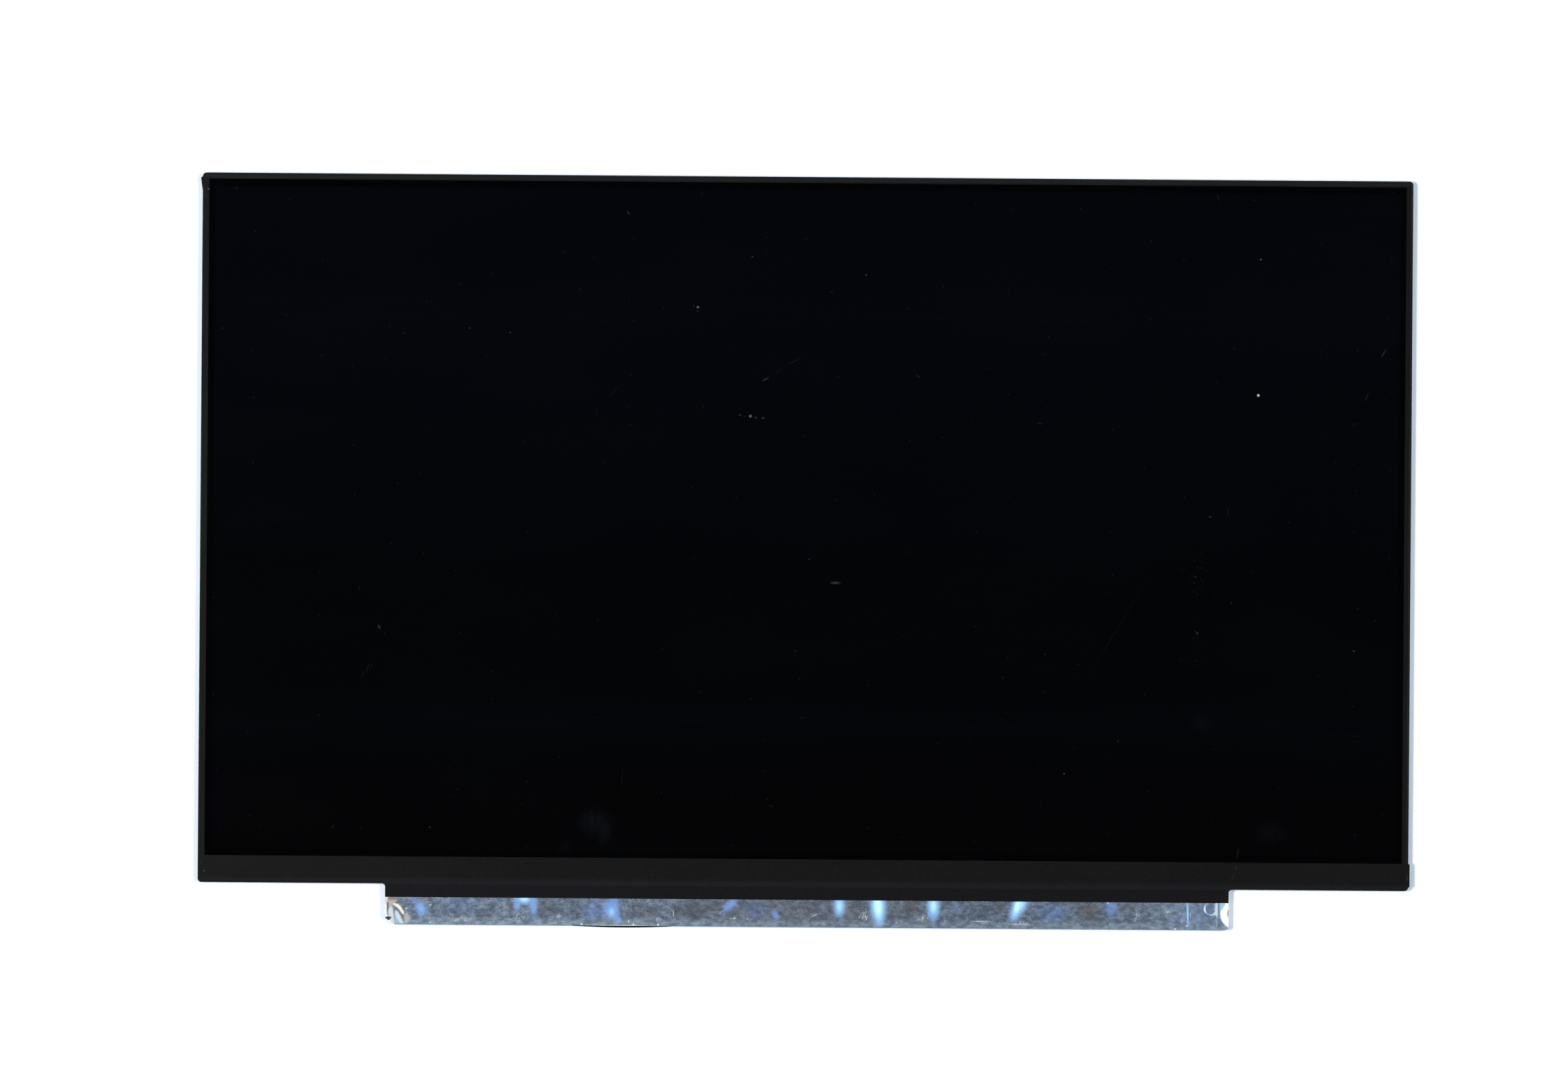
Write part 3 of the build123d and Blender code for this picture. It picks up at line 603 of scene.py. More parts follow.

# Each facet of the crumpled ends: its corners, its colour, which is a painted highlight on the pale facets
# and painted shade on the dark ones, how far that covers the metal, and its slope to the right.
foil_facets_and_painted_light = [
    ([(-109.2, -98.0), (-108.2, -98.0), (-108.2, -100.1), (-109.2, -100.25)],
      (236, 218, 218), 0.9, 0.1),
    ([(-108.2, -97.0), (-105.4, -97.0), (-105.6, -99.7), (-108.1, -99.6)],
      (116, 100, 90), 0.7, 0.1),
    ([(-108.1, -99.5), (-105.9, -99.6), (-106.4, -100.6), (-107.1, -101.3), (-107.9, -101.0)],
      (196, 170, 146), 0.8, 0.1),
    ([(-109.2, -100.3), (-108.5, -100.3), (-108.4, -103.2), (-109.2, -103.9)],
      (240, 246, 246), 0.95, 0.12),
    ([(-108.46, -100.1), (-108.12, -100.1), (-108.1, -102.6), (-108.3, -103.5)],
      (64, 50, 46), 0.95, 0.0),
    ([(-108.15, -102.6), (-107.85, -101.5), (-107.45, -101.1), (-106.95, -101.5), (-106.65, -103.1),
      (-106.45, -106.2), (-107.3, -105.8), (-107.8, -104.4)], (208, 211, 211), 0.95, 0.12),
    ([(-109.2, -103.6), (-108.3, -103.4), (-107.7, -104.2), (-107.2, -106.2), (-109.2, -106.2)],
      (255, 255, 255), 0.95, 0.12),
    ([(-106.75, -100.35), (-105.5, -100.6), (-104.7, -101.4), (-104.0, -102.6), (-103.95, -103.3),
      (-104.35, -103.2), (-105.0, -102.3), (-105.8, -101.4), (-106.6, -100.9)],
      (251, 242, 222), 0.95, -0.12),
    ([(-106.35, -102.2), (-105.7, -102.4), (-105.0, -103.3), (-103.95, -105.9), (-104.9, -105.6),
      (-105.7, -104.7), (-106.3, -103.6)], (196, 215, 217), 0.95, 0.12),
    ([(-106.4, -103.4), (-106.1, -103.9), (-105.5, -104.9), (-104.6, -106.1), (-106.4, -106.1)],
      (142, 188, 202), 0.8, 0.1),
    ([(-106.2, -101.6), (-105.6, -101.7), (-104.6, -103.2), (-103.9, -105.4), (-104.5, -104.1),
      (-105.3, -102.6)], (66, 80, 80), 0.8, 0.0),
    ([(-103.9, -103.3), (-103.3, -102.8), (-102.35, -104.0), (-102.6, -104.8), (-103.7, -105.9)],
      (188, 174, 162), 0.85, -0.1),
    ([(107.7, -97.0), (108.32, -97.0), (108.3, -101.7), (108.1, -102.7), (107.8, -101.9),
      (107.2, -101.9), (106.3, -102.0), (107.0, -101.6), (107.5, -100.9)],
      (198, 217, 219), 0.95, -0.12),
    ([(108.36, -97.0), (108.64, -97.0), (108.75, -101.4), (108.4, -101.8)], (34, 34, 44), 0.9, 0.0),
    ([(108.66, -97.0), (110.6, -97.0), (110.0, -99.6), (109.2, -100.9), (108.75, -100.9)],
      (156, 206, 242), 0.88, -0.1),
    ([(110.4, -97.0), (111.2, -97.0), (111.2, -105.1), (110.3, -104.6), (109.5, -103.7),
      (109.0, -102.6), (108.85, -101.2), (109.5, -100.2), (110.1, -99.3)],
      (254, 255, 252), 0.95, -0.12),
    ([(110.9, -100.5), (111.2, -100.2), (111.2, -102.6), (110.85, -102.1), (110.75, -101.3)],
      (74, 76, 78), 0.9, 0.0),
]
facet_edge = 0.24

# Each patch: its middle, half length, half width, turn in degrees and strength. Stains are brown with age,
# sheen patches carry a bluish painted sheen, shade patches are painted shade, and hatched ones are scratched
# in one direction.
foil_stains = [
    (-76.0, -100.7, 2.0, 1.6, 0, 0.8), (-82.9, -103.4, 3.5, 1.6, 0, 0.48),
    (-67.8, -101.2, 3.5, 4.3, 0, 0.56), (-50.3, -104.8, 2.2, 1.4, 0, 0.64),
    (-42.0, -102.5, 5.8, 3.5, 0, 0.48), (-27.0, -101.7, 7.8, 4.1, 10, 0.64),
    (-22.3, -100.3, 2.8, 2.6, 0, 0.8), (-5.2, -103.0, 1.6, 1.9, 0, 0.8),
    (2.0, -100.4, 4.1, 2.9, 0, 0.72), (14.3, -100.3, 3.0, 3.0, 0, 0.64),
    (22.6, -102.6, 2.3, 3.2, 0, 0.56), (28.4, -100.4, 3.8, 3.5, 0, 0.8),
    (51.6, -99.9, 2.3, 3.5, 0, 0.64), (74.8, -101.0, 5.5, 4.3, 0, 0.8),
    (85.5, -100.4, 3.2, 2.9, 0, 0.32), (101.2, -100.5, 2.6, 0.5, 90, 0.9),
    (108.5, -100.0, 2.6, 0.3, 90, 0.9), (3.0, -101.5, 46.0, 9.0, 0, 0.45),
]
foil_painted_sheen_patches = [
    (-89.0, -100.2, 7.0, 3.0, 0, 0.5), (-86.0, -103.2, 1.8, 1.4, 0, 0.4),
    (-54.3, -101.9, 4.8, 3.8, 0, 0.9), (-12.3, -101.6, 4.8, 3.4, 0, 0.8),
    (5.5, -101.2, 2.4, 2.6, 0, 0.4), (40.0, -100.3, 3.6, 1.8, 0, 0.4), (65.4, -101.8, 5.6, 4.0, 0, 0.8),
    (80.3, -100.4, 3.0, 3.4, 0, 0.6), (103.0, -102.5, 8.0, 5.0, 0, 0.5),
    (103.2, -100.6, 1.8, 2.2, 0, 0.5), (106.28, -100.22, 1.5, 1.5, 0, 0.7),
]
foil_painted_shade_patches = [
    (-82.9, -103.2, 4.5, 2.0, 0, 0.55), (-65.5, -101.2, 5.5, 4.0, 0, 0.6),
    (-30.0, -102.2, 8.0, 3.6, 0, 0.55), (28.0, -101.5, 5.0, 4.0, 0, 0.3),
    (45.5, -102.0, 7.5, 4.0, 0, 0.55), (-60.0, -101.5, 5.0, 4.5, 0, 0.4),
    (-90.5, -101.5, 9.0, 4.5, 0, 0.3),
]
foil_hatches = [
    (-88.6, -104.3, 3.6, 1.3, 0, 0.7), (-73.6, -103.3, 2.2, 1.5, 70, 0.8),
    (-63.6, -103.3, 1.4, 1.2, 60, 0.8), (-44.6, -104.3, 1.6, 1.1, 0, 0.6),
    (-37.9, -103.9, 1.3, 1.4, 90, 0.8), (-18.0, -103.5, 3.0, 0.9, 0, 0.7),
    (3.0, -102.8, 1.8, 1.0, 30, 0.6), (16.2, -102.6, 1.9, 1.7, 60, 1.0),
    (24.4, -104.3, 2.0, 0.9, 0, 0.7), (31.4, -103.1, 2.6, 1.4, 20, 1.0),
    (47.0, -104.2, 4.6, 0.9, 0, 0.6), (58.0, -104.4, 4.4, 0.9, 0, 0.7),
    (87.2, -102.2, 2.4, 1.0, 80, 0.7), (95.1, -101.0, 1.5, 1.6, 40, 0.9),
    (99.0, -103.2, 1.2, 0.8, 90, 0.6),
]


def ease(value):
    """A smooth step from 0 to 1."""
    held = np.clip(value, 0.0, 1.0)
    return held * held * (3 - 2 * held)


def share_within(outline, x, y, softness):
    """How far points lie inside an outline, from 0 outside to 1 inside, over a soft edge."""
    inside = np.zeros(x.shape, bool)
    nearest = np.full(x.shape, 1e9)
    for (x_a, y_a), (x_b, y_b) in zip(outline, outline[1:] + outline[:1]):
        crosses = (y_a > y) != (y_b > y)
        inside ^= crosses & (x < (x_b - x_a) * (y - y_a) / ((y_b - y_a) or 1e-9) + x_a)
        along = ((x - x_a) * (x_b - x_a) + (y - y_a) * (y_b - y_a)) / ((x_b - x_a) ** 2 + (y_b - y_a) ** 2)
        along = np.clip(along, 0.0, 1.0)
        far = np.hypot(x - x_a - along * (x_b - x_a), y - y_a - along * (y_b - y_a))
        nearest = np.minimum(nearest, far)
    return ease(0.5 + np.where(inside, nearest, -nearest) / (2 * softness))


def turned(x, y, middle_x, middle_y, length, width, turn):
    """Points as seen from a turned mark's middle: along it and across it, in its half lengths and widths."""
    c, s = math.cos(math.radians(turn)), math.sin(math.radians(turn))
    along = ((x - middle_x) * c + (y - middle_y) * s) / length
    across = ((x - middle_x) * s - (y - middle_y) * c) / width
    return along, across


def share_of_patches(patches, x, y):
    """How strongly points lie in soft patches."""
    total = np.zeros_like(x)
    for *patch, strength in patches:
        far = np.hypot(*turned(x, y, *patch))
        total = np.maximum(total, strength * (1 - ease((far - 0.1) / 0.9)))
    return total


def foil_lower_edge(x):
    """The foil's cut outline at its lower side."""
    left_cut = foil_low.y + cut_height * np.clip((wrap_left - x) / (wrap_left - foil_low.x), 0, 1)
    across = np.clip((x - (foil_high.x - corner_length)) / corner_length, 0, 1)
    right_corner = foil_low.y + corner_rise * (1 - np.sqrt(1 - across * across))
    return np.maximum(left_cut, right_corner)


def foil_columns(x_low, x_high):
    """Places along the strip, closer together at the ends, at the crease and about each dent."""
    fine, middling, coarse = 0.11, 0.3, 0.6
    crumpled_left, crumpled_right = -102, 104
    crease_x, crease_reach, dent_reach = 100.4, 0.8, 3.2
    places = [x_low]
    while places[-1] < x_high:
        here = places[-1]
        at_end = here < crumpled_left or here > crumpled_right
        at_crease = abs(here - crease_x) < crease_reach
        near_dent = any(abs(here - dent[0]) < dent_reach for dent in foil_dents_and_painted_glints)
        places.append(here + (fine if at_end or at_crease else middling if near_dent else coarse))
    places[-1] = x_high
    return np.array(places)


def foil_skin(x, y):
    """The foil's rise, its slopes, and what its face carries: a colour holding painted highlights and
    painted shade, its share, and patches.
    """
    ripple, crinkle, ripple_slope = 0.010, 0.004, 0.02
    dent_depth, facet_rise, facet_tilt = 0.17, 0.1, 0.3
    seen_slope = 0.2
    hole_wall, hole_slope, hole_edge = 0.2, 0.3, 0.35
    ring_out, ring_width, ring_share, ring_end, ring_fade = 0.05, 0.13, 0.75, 0.9, 1.2
    flat_margin = 0.6
    rise = ripple * np.sin(x * 1.3 + 0.7 * np.sin(y * 1.3)) * np.sin(y * 0.9 + 0.4 * x)
    rise += crinkle * np.sin(x * 4.3 + 1.2) * np.sin(y * 2.7 + 0.9 * np.sin(x * 0.7))
    slope_x = ripple_slope * np.sin(x * 1.7 + 2.0 * np.sin(y * 0.8)) * np.sin(y * 1.1 + 0.5 * x)
    slope_y = np.zeros_like(x)
    tint_and_painted_light = np.zeros((*x.shape, 3))
    cover = np.zeros_like(x)

    def lay(colour, share):
        """Lays a colour over what is there."""
        tint_and_painted_light[:] = tint_and_painted_light * (1 - share[..., None]) + np.array(shade(*colour)[:3]) * share[..., None]
        cover[:] = cover * (1 - share) + share

    # Each dent rises and tilts, and lays its painted highlight over the foil's colour.
    for *dent, steep, blue, white in foil_dents_and_painted_glints:
        along, across = turned(x, y, *dent)
        width = dent[3]
        far = along ** 2 + across ** 2
        rise += dent_depth * min(width, 1) * np.exp(-(along ** 2 + (across - 0.9) ** 2))
        slope_x += seen_slope * steep * np.exp(-far)
        lay(painted_glint_blue, blue * np.exp(-1.1 * far))
        lay(painted_glint_pale, white * np.exp(-1.8 * far))
        lay(painted_glint_white, white * white * np.exp(-3.4 * far))
    from_hole = np.hypot(x - hole_x, y - hole_y)
    wall = hole_slope * np.exp(-((from_hole - hole_radius) / hole_wall) ** 2) / np.maximum(from_hole, 0.1)
    rise -= (foil_level - hole_floor) * ease((hole_radius - from_hole) / hole_edge)
    slope_x += wall * (x - hole_x)
    slope_y += wall * (y - hole_y)
    # A painted highlight round the rim of the pressed-in hole, fading towards its right.
    ring = ring_share * np.exp(-((from_hole - hole_radius - ring_out) / ring_width) ** 2)
    lay(painted_ring_highlight, ring * ease((hole_x + ring_end - x) / ring_fade))
    # Each facet of the crumpled ends tilts, and lays its painted highlight or painted shade over the foil's
    # colour.
    for outline, colour, share, lean in foil_facets_and_painted_light:
        within = share_within(outline, x, y, facet_edge)
        middle_x = np.mean(outline, axis=0)[0]
        rise = rise * (1 - within) + within * (facet_rise + facet_tilt * lean * (x - middle_x))
        slope_x = slope_x * (1 - within) + within * seen_slope * lean
        lay(colour, share * within)
    held = ease((y - board_low.y) / flat_margin)
    patches = [share_of_patches(kind, x, y) for kind in (foil_stains, foil_painted_sheen_patches, foil_hatches, foil_painted_shade_patches)]
    return rise * held, slope_x * held, slope_y * held, [*np.moveaxis(tint_and_painted_light, 2, 0), cover, *patches]


def foil_strip(x_low, x_high, ending):
    """One stretch of the foil, row by row from its upper edge, as points with all that each carries."""
    x = foil_columns(x_low, x_high)
    lower = np.maximum(foil_lower_edge(x), notch_edge if ending == "notch" else board_low.y)
    share = np.linspace(0, 1, foil_rows)[:, None]
    y = foil_high.y + (lower - foil_high.y) * share
    if ending == "skirt":
        low_rows = lower + (foil_lower_edge(x) - lower) * np.array([[0.5], [1.0]])
        y = np.concatenate([y, low_rows])
    x = np.broadcast_to(x, y.shape)
    rise, slope_x, slope_y, face = foil_skin(x, y)
    ceiling = under_tongue + (foil_ceiling - under_tongue) * np.clip((tongue_edge - y) / tongue_ramp, 0, 1)
    floor = np.where(np.hypot(x - hole_x, y - hole_y) < hole_radius, hole_floor, foil_level - foil_sag)
    z = np.clip(foil_level + rise, floor, ceiling)
    facing = [-slope_x, -slope_y, np.ones_like(x)]
    rows = [np.stack([x, y, z, *facing, *face], axis=2)]
    if ending == "fold":
        front_turn = np.linspace(0.2, 1, 5) * math.pi / 2
        rear_turn = np.linspace(1, 2, 6) * math.pi / 2
        flange = np.array([0.33, 0.66, 1.0])
        turns = np.concatenate([front_turn, rear_turn, np.full(len(flange), math.pi)])
        middle_z = np.full(len(turns), board_rear - flange_gap + bend_radius)
        middle_z[:len(front_turn)] = foil_level - bend_radius
        fold_y = board_low.y - bend_radius * np.sin(turns)
        fold_y[-len(flange):] += (flange_reach - bend_radius) * flange
        fold_z = middle_z + bend_radius * np.cos(turns)
        columns = [fold_y, fold_z, np.zeros(len(turns)), -np.sin(turns), np.cos(turns)]
        wide = np.ones((len(turns), x.shape[1]))
        parts = [wide * x[0], *[wide * column[:, None] for column in columns], *[wide * 0] * len(face)]
        rows.append(np.stack(parts, axis=2))
    return np.concatenate(rows)


def thin_sheet(name, strips, gauge):
    """Strips of points welded into one sheet, with its thickness on the hidden side and a closed rim."""
    weld_apart = 0.002 * mm
    faces = []
    first = 0
    for strip in strips:
        rows, columns = strip.shape[:2]
        index = first + np.arange(rows * columns).reshape(rows, columns)
        quads = [index[:-1, :-1], index[1:, :-1], index[1:, 1:], index[:-1, 1:]]
        faces += np.stack([quad.ravel() for quad in quads], axis=1).tolist()
        first += rows * columns
    points = np.concatenate([strip.reshape(-1, strip.shape[2]) for strip in strips])
    flat = bpy.data.meshes.new(name)
    flat.from_pydata((points[:, :3] * mm).tolist(), [], faces)
    for carried, kind, key, columns in (
        ("facing", "FLOAT_VECTOR", "vector", slice(3, 6)),
        ("tint_and_painted_light", "FLOAT_VECTOR", "vector", slice(6, 9)),
        ("cover", "FLOAT", "value", slice(9, 10)),
        ("patches", "FLOAT_COLOR", "color", slice(10, 14)),
    ):
        flat.attributes.new(carried, kind, "POINT").data.foreach_set(key, points[:, columns].ravel())
    weld = bmesh.new()
    weld.from_mesh(flat)
    bmesh.ops.remove_doubles(weld, verts=weld.verts, dist=weld_apart)
    weld.to_mesh(flat)
    weld.free()
    sheet = add(name, flat)
    wall = sheet.modifiers.new("gauge", "SOLIDIFY")
    wall.thickness = gauge * mm
    wall.offset = -1.0
    front_count = len(flat.vertices)
    made = settle(sheet)
    facing = np.empty(len(made.vertices) * 3)
    made.attributes["facing"].data.foreach_get("vector", facing)
    facing = facing.reshape(-1, 3) / np.linalg.norm(facing.reshape(-1, 3), axis=1)[:, None]
    facing[front_count:] *= -1
    made.polygons.foreach_set("use_smooth", [True] * len(made.polygons))
    made.normals_split_custom_set_from_vertices(facing.tolist())
    made.attributes.remove(made.attributes["facing"])
    return sheet


foil_stretches = (
    (foil_low.x, wrap_left, "cut"),
    (wrap_left, notch_low.x, "fold"),
    (notch_low.x, notch_high.x, "notch"),
    (notch_high.x, board_high.x, "fold"),
    (board_high.x, foil_high.x, "skirt"),
)
foil_sheet = thin_sheet("dented_foil", [foil_strip(*stretch) for stretch in foil_stretches], foil_gauge)

# Each bright nick, a scratch: its middle, half length, half width, turn and strength. Each spark, a painted
# highlight where an edge catches the light: its place, radius and strength.
nick_places = [
    (-97.05, -100.73, 0.7, 0.36, 25, 0.6), (-97.2, -105.3, 0.35, 0.26, 30, 0.75),
    (-91.7, -105.1, 0.5, 0.16, 80, 0.6), (-90.5, -104.7, 0.6, 0.16, 35, 0.68),
    (-88.0, -104.75, 0.6, 0.21, 0, 0.75), (-74.5, -103.4, 1.2, 0.16, 68, 0.68),
    (-72.6, -103.8, 0.8, 0.18, 60, 0.6), (-76.3, -104.4, 0.8, 0.18, 25, 0.52),
    (-63.8, -103.5, 1.0, 0.17, 62, 0.75), (-45.4, -104.6, 0.7, 0.21, 90, 0.9),
    (-44.0, -104.6, 0.9, 0.16, 65, 0.6), (-38.0, -104.2, 1.0, 0.18, 92, 0.6),
    (-17.8, -103.6, 0.7, 0.21, 75, 0.9), (-18.2, -103.7, 1.6, 0.26, 5, 0.45),
    (-14.4, -103.8, 0.35, 0.18, 80, 0.75), (-21.5, -102.2, 0.5, 0.18, 50, 0.6),
    (3.2, -102.7, 1.2, 0.26, 32, 0.52), (14.9, -102.9, 0.9, 0.17, 62, 0.68),
    (15.7, -103.0, 0.9, 0.17, 70, 0.75), (16.7, -103.4, 0.8, 0.26, 75, 0.75),
    (16.4, -101.1, 0.6, 0.16, 65, 0.6), (31.2, -103.3, 0.9, 0.26, 45, 0.75),
    (30.2, -103.7, 0.8, 0.18, 30, 0.6), (32.6, -103.2, 0.6, 0.21, 60, 0.6),
    (24.7, -104.6, 0.8, 0.18, 5, 0.6), (46.4, -104.0, 3.6, 0.18, 0, 0.75),
    (56.2, -104.6, 4.2, 0.2, 0, 0.75), (80.2, -104.6, 0.6, 0.16, 70, 0.6),
    (87.0, -102.4, 2.4, 0.18, 80, 0.63), (87.9, -100.4, 0.8, 0.16, 70, 0.45),
    (95.2, -101.1, 0.6, 0.44, 30, 0.75), (94.7, -100.4, 0.8, 0.18, 95, 0.6),
    (98.9, -103.4, 0.8, 0.17, 86, 0.68), (101.15, -102.0, 1.2, 0.21, 88, 0.6),
    (91.5, -105.3, 1.0, 0.18, 10, 0.45),
]
painted_spark_places = [
    (-57.6, -105.5, 0.42, 1.0), (-44.1, -105.5, 0.4, 1.0), (-37.7, -105.45, 0.42, 1.0),
    (62.95, -98.75, 0.24, 1.0), (79.55, -98.9, 0.32, 1.0), (97.2, -105.6, 0.34, 1.0),
    (-103.4, -101.7, 0.4, 0.8), (100.2, -104.8, 0.32, 1.0),
]
foil = Finish("rolled_foil", metal=1.0)
foil_grain = foil.cloud((0.5, 0.17, 0.5), detail=4)
foil_fleck = foil.cloud((0.22, 0.16, 0.22), detail=2, start=5.0)
foil_mottle = foil.cloud((1.6, 1.0, 1.6), start=2.3)
foil_hue = foil.cloud((3.4, 2.2, 3.4), start=7.1)
foil_patches = foil.step("Attribute", attribute_name="patches")
foil_kinds = foil.step("SeparateColor", {0: foil_patches.outputs["Color"]}).outputs
foil_stain, foil_painted_sheen, foil_hatched = foil_kinds["Red"], foil_kinds["Green"], foil_kinds["Blue"]
foil_painted_shade = foil_patches.outputs["Alpha"]
foil_nicks = foil.times(foil.strokes(nick_places), foil.level(foil_fleck, 0.36, 0.62, 0.35, 1.0))
hatch_turn, hatch_length, hatch_width = math.radians(66), 1.1 * mm, 0.1 * mm
hatch_values = {
    "Vector": foil.place,
    "Rotation": (0.0, 0.0, hatch_turn),
    "Scale": (hatch_length, hatch_width, mm),
}
hatch_place = foil.step("Mapping", hatch_values, vector_type="TEXTURE").outputs["Vector"]
hatch_lines = foil.step("TexNoise", {"Vector": hatch_place, "Scale": 1.0, "Detail": 2.0}).outputs["Fac"]
foil_hatched = foil.times(foil_hatched, foil.level(hatch_lines, 0.5, 0.7))
foil_nicks = foil.most(foil_nicks, foil.times(foil_hatched, 0.85))
foil_painted_sparks = foil.specks(foil_level, painted_spark_places)
foil_dash = foil.strokes([(-33.7, -102.6, 1.5, 0.24, 91, 0.95)])
# Painted shade in the dark gap of the fold at the cut left end.
foil_painted_gap_shade = foil.strokes([(-108.25, -104.35, 1.15, 0.75, 8, 2.0), (-107.7, -104.2, 0.8, 0.26, 20, 2.0)])
# Painted highlights along the crease at the right end and along the notch's top edge.
foil_painted_edge_highlights = foil.strokes([(108.05, -104.0, 2.0, 0.14, 90, 0.5), (-47.6, -105.72, 11.5, 0.13, 0, 0.8)])
foil_foot = foil.across("Y", -103.2, -105.4, 0.0, 0.5)
# The foil's grey, with brown stains, a bluish painted sheen in some patches and painted shade in others,
# paler towards the right end and the foot.
foil_grey = foil.coats(
    foil.mix(foil.level(foil_grain, 0.32, 0.7), shade(94, 107, 126), shade(146, 164, 186)),
    (foil.level(foil_fleck, 0.45, 0.75, 0, 0.3), (206, 222, 236)),
    (foil.level(foil_hue, 0.35, 0.7, 0, 0.3), (142, 150, 158)),
    (foil.times(foil_painted_sheen, 0.55), (128, 164, 226)),
    (foil.times(foil_stain, foil.level(foil_mottle, 0.25, 0.65, 0.35, 0.9)), (122, 113, 108)),
    (foil.times(foil_painted_shade, 0.55), (76, 86, 100)),
    (foil.across("X", 84, 102, 0.0, 0.32), (172, 194, 224)),
    (foil.times(foil_foot, foil.level(foil_fleck, 0.3, 0.6, 0.4, 1.0)), (176, 196, 212)),
)
# The painted highlights and painted shade carried by the sheet's points, laid over the grey where they cover
# it.
foil_tint_and_painted_light = foil.step("Attribute", attribute_name="tint_and_painted_light").outputs["Vector"]
foil_cover = foil.step("Attribute", attribute_name="cover").outputs["Fac"]
foil_thin = foil.most(foil.spread(foil_grain, 0.74, 1.0), foil.level(foil_cover, 0.75, 0.95))
foil_cover = foil.times(foil_cover, foil_thin)
thin_tint_and_painted_light = foil.step("VectorMath", {0: foil_tint_and_painted_light, "Scale": foil_thin}, operation="SCALE").outputs["Vector"]
foil_grey = foil.mix(1.0, foil.mix(foil_cover, foil_grey, (0.0, 0.0, 0.0, 1.0)), thin_tint_and_painted_light, "ADD")
# Scratches and painted highlights, laid on in near white.
foil_nicks_and_painted_highlights = foil.most(foil_nicks, foil_painted_edge_highlights, foil_painted_sparks)
foil_grey = foil.coats(
    foil_grey, (foil_nicks_and_painted_highlights, (244, 250, 250)), (foil_dash, (208, 178, 126)), (foil_painted_gap_shade, (6, 6, 7))
)
foil_matt = foil.most(foil_nicks_and_painted_highlights, foil_dash, foil_painted_gap_shade, foil.level(foil_cover, 0.0, 0.6))
foil.wear(
    colour=foil_grey,
    metallic=foil.join("SUBTRACT", 1.0, foil_matt),
    roughness=foil.spread(foil_mottle, 0.28, 0.36),
    normal=foil.raise_by(foil_grain, 0.005),
)
foil_sheet.data.materials.append(foil.material)
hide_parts("shield_foil")
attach(foil_sheet, "root")


# Edge tapes: strips of thin black polyester tape wrapped round all four edges, with a tongue over the
# board. The film has a soft sheen and a very fine tooth, carries a painted sheen along its folds, and has
# picked up a few nicks and a hair, beside a few painted glints. One end stands loose at the lower right.

# Each nick, speck, hair or painted glint: its middle, half length, half width, turn in degrees and strength.
tape_marks_and_painted_glints = [
    (-156.32, 85.44, 0.44, 0.15, -12, 0.16), (-157.1, 83.8, 0.3, 0.12, 60, 0.04),
    (-156.2, -92.3, 0.5, 0.1, 20, 0.05), (-156.2, -92.3, 0.45, 0.1, 80, 0.05),
    (-156.2, -92.3, 0.4, 0.1, 140, 0.04), (-157.0, -89.8, 0.9, 0.12, 78, 0.02),
    (113.45, -86.9, 1.4, 0.09, 77, 0.022), (113.9, -86.7, 1.1, 0.08, 104, 0.018),
    (112.85, -89.6, 1.6, 0.09, 78, 0.02), (112.1, -92.0, 1.3, 0.09, 66, 0.018),
    (157.6, -91.8, 1.6, 0.14, 89, 0.03), (-78.8, -90.55, 0.3, 0.2, 0, 0.015),
]
tape = Finish("black_tape", gloss=0.09)
tape_tooth = tape.cloud(0.35)
tape_lie = tape.cloud((24, 9, 24), start=4.1)
tape_grain = tape.cloud((0.9, 0.5, 0.9), detail=4, start=8.2)
# A painted sheen along the tape's folds.
tape_painted_fold_sheen = tape.most(
    tape.across("X", -156.6, -157.0, 0.0, 0.05),
    tape.across("Y", 88.3, 88.7, 0.0, 0.7),
    tape.across("Y", -93.2, -94.8, 0.0, 0.55),
)
tape_loose_end = tape.times(tape.across("X", 157.7, 157.85), tape.across("Y", -88.5, -89.5))
tape_black = tape.coats(
    tape.mix(tape.spread(tape_lie), shade(5, 5, 6), shade(8, 8, 9)),
    (tape.level(tape_grain, 0.35, 0.7, 0, 0.4), (11, 11, 12)),
    (tape.times(tape_painted_fold_sheen, tape.across("Y", -95.3, -95.6, 1.0, 0.0)), (24, 24, 26)),
    (tape.across("Y", -95.2, -96.0, 0.0, 0.4), (13, 13, 17)),
    (tape_loose_end, (4, 4, 5)),
    (tape.strokes(tape_marks_and_painted_glints), (255, 252, 246)),
)
tape_rubbed = tape.across("X", -156.4, -157.0, 0.0, 0.2)
tape.wear(
    colour=tape_black,
    roughness=tape.join("ADD", tape.spread(tape_tooth, 0.36, 0.46), tape_rubbed),
    normal=tape.raise_by(tape_tooth, 0.003, tape.raise_by(tape_lie, 0.02)),
)
dress(tape, "top_tape", "left_tape", "right_tape", "lower_tape", "connector_tape")


# Front polarising film: the black face of the screen, a hard-coated plastic film laminated on the glass.
# It is darker over the printed border, and carries dust, short scratches, rubbed patches and a fingerprint.
film_level = 2.4
border_x, border_y, border_soft = 154.5, 86.3, 0.45

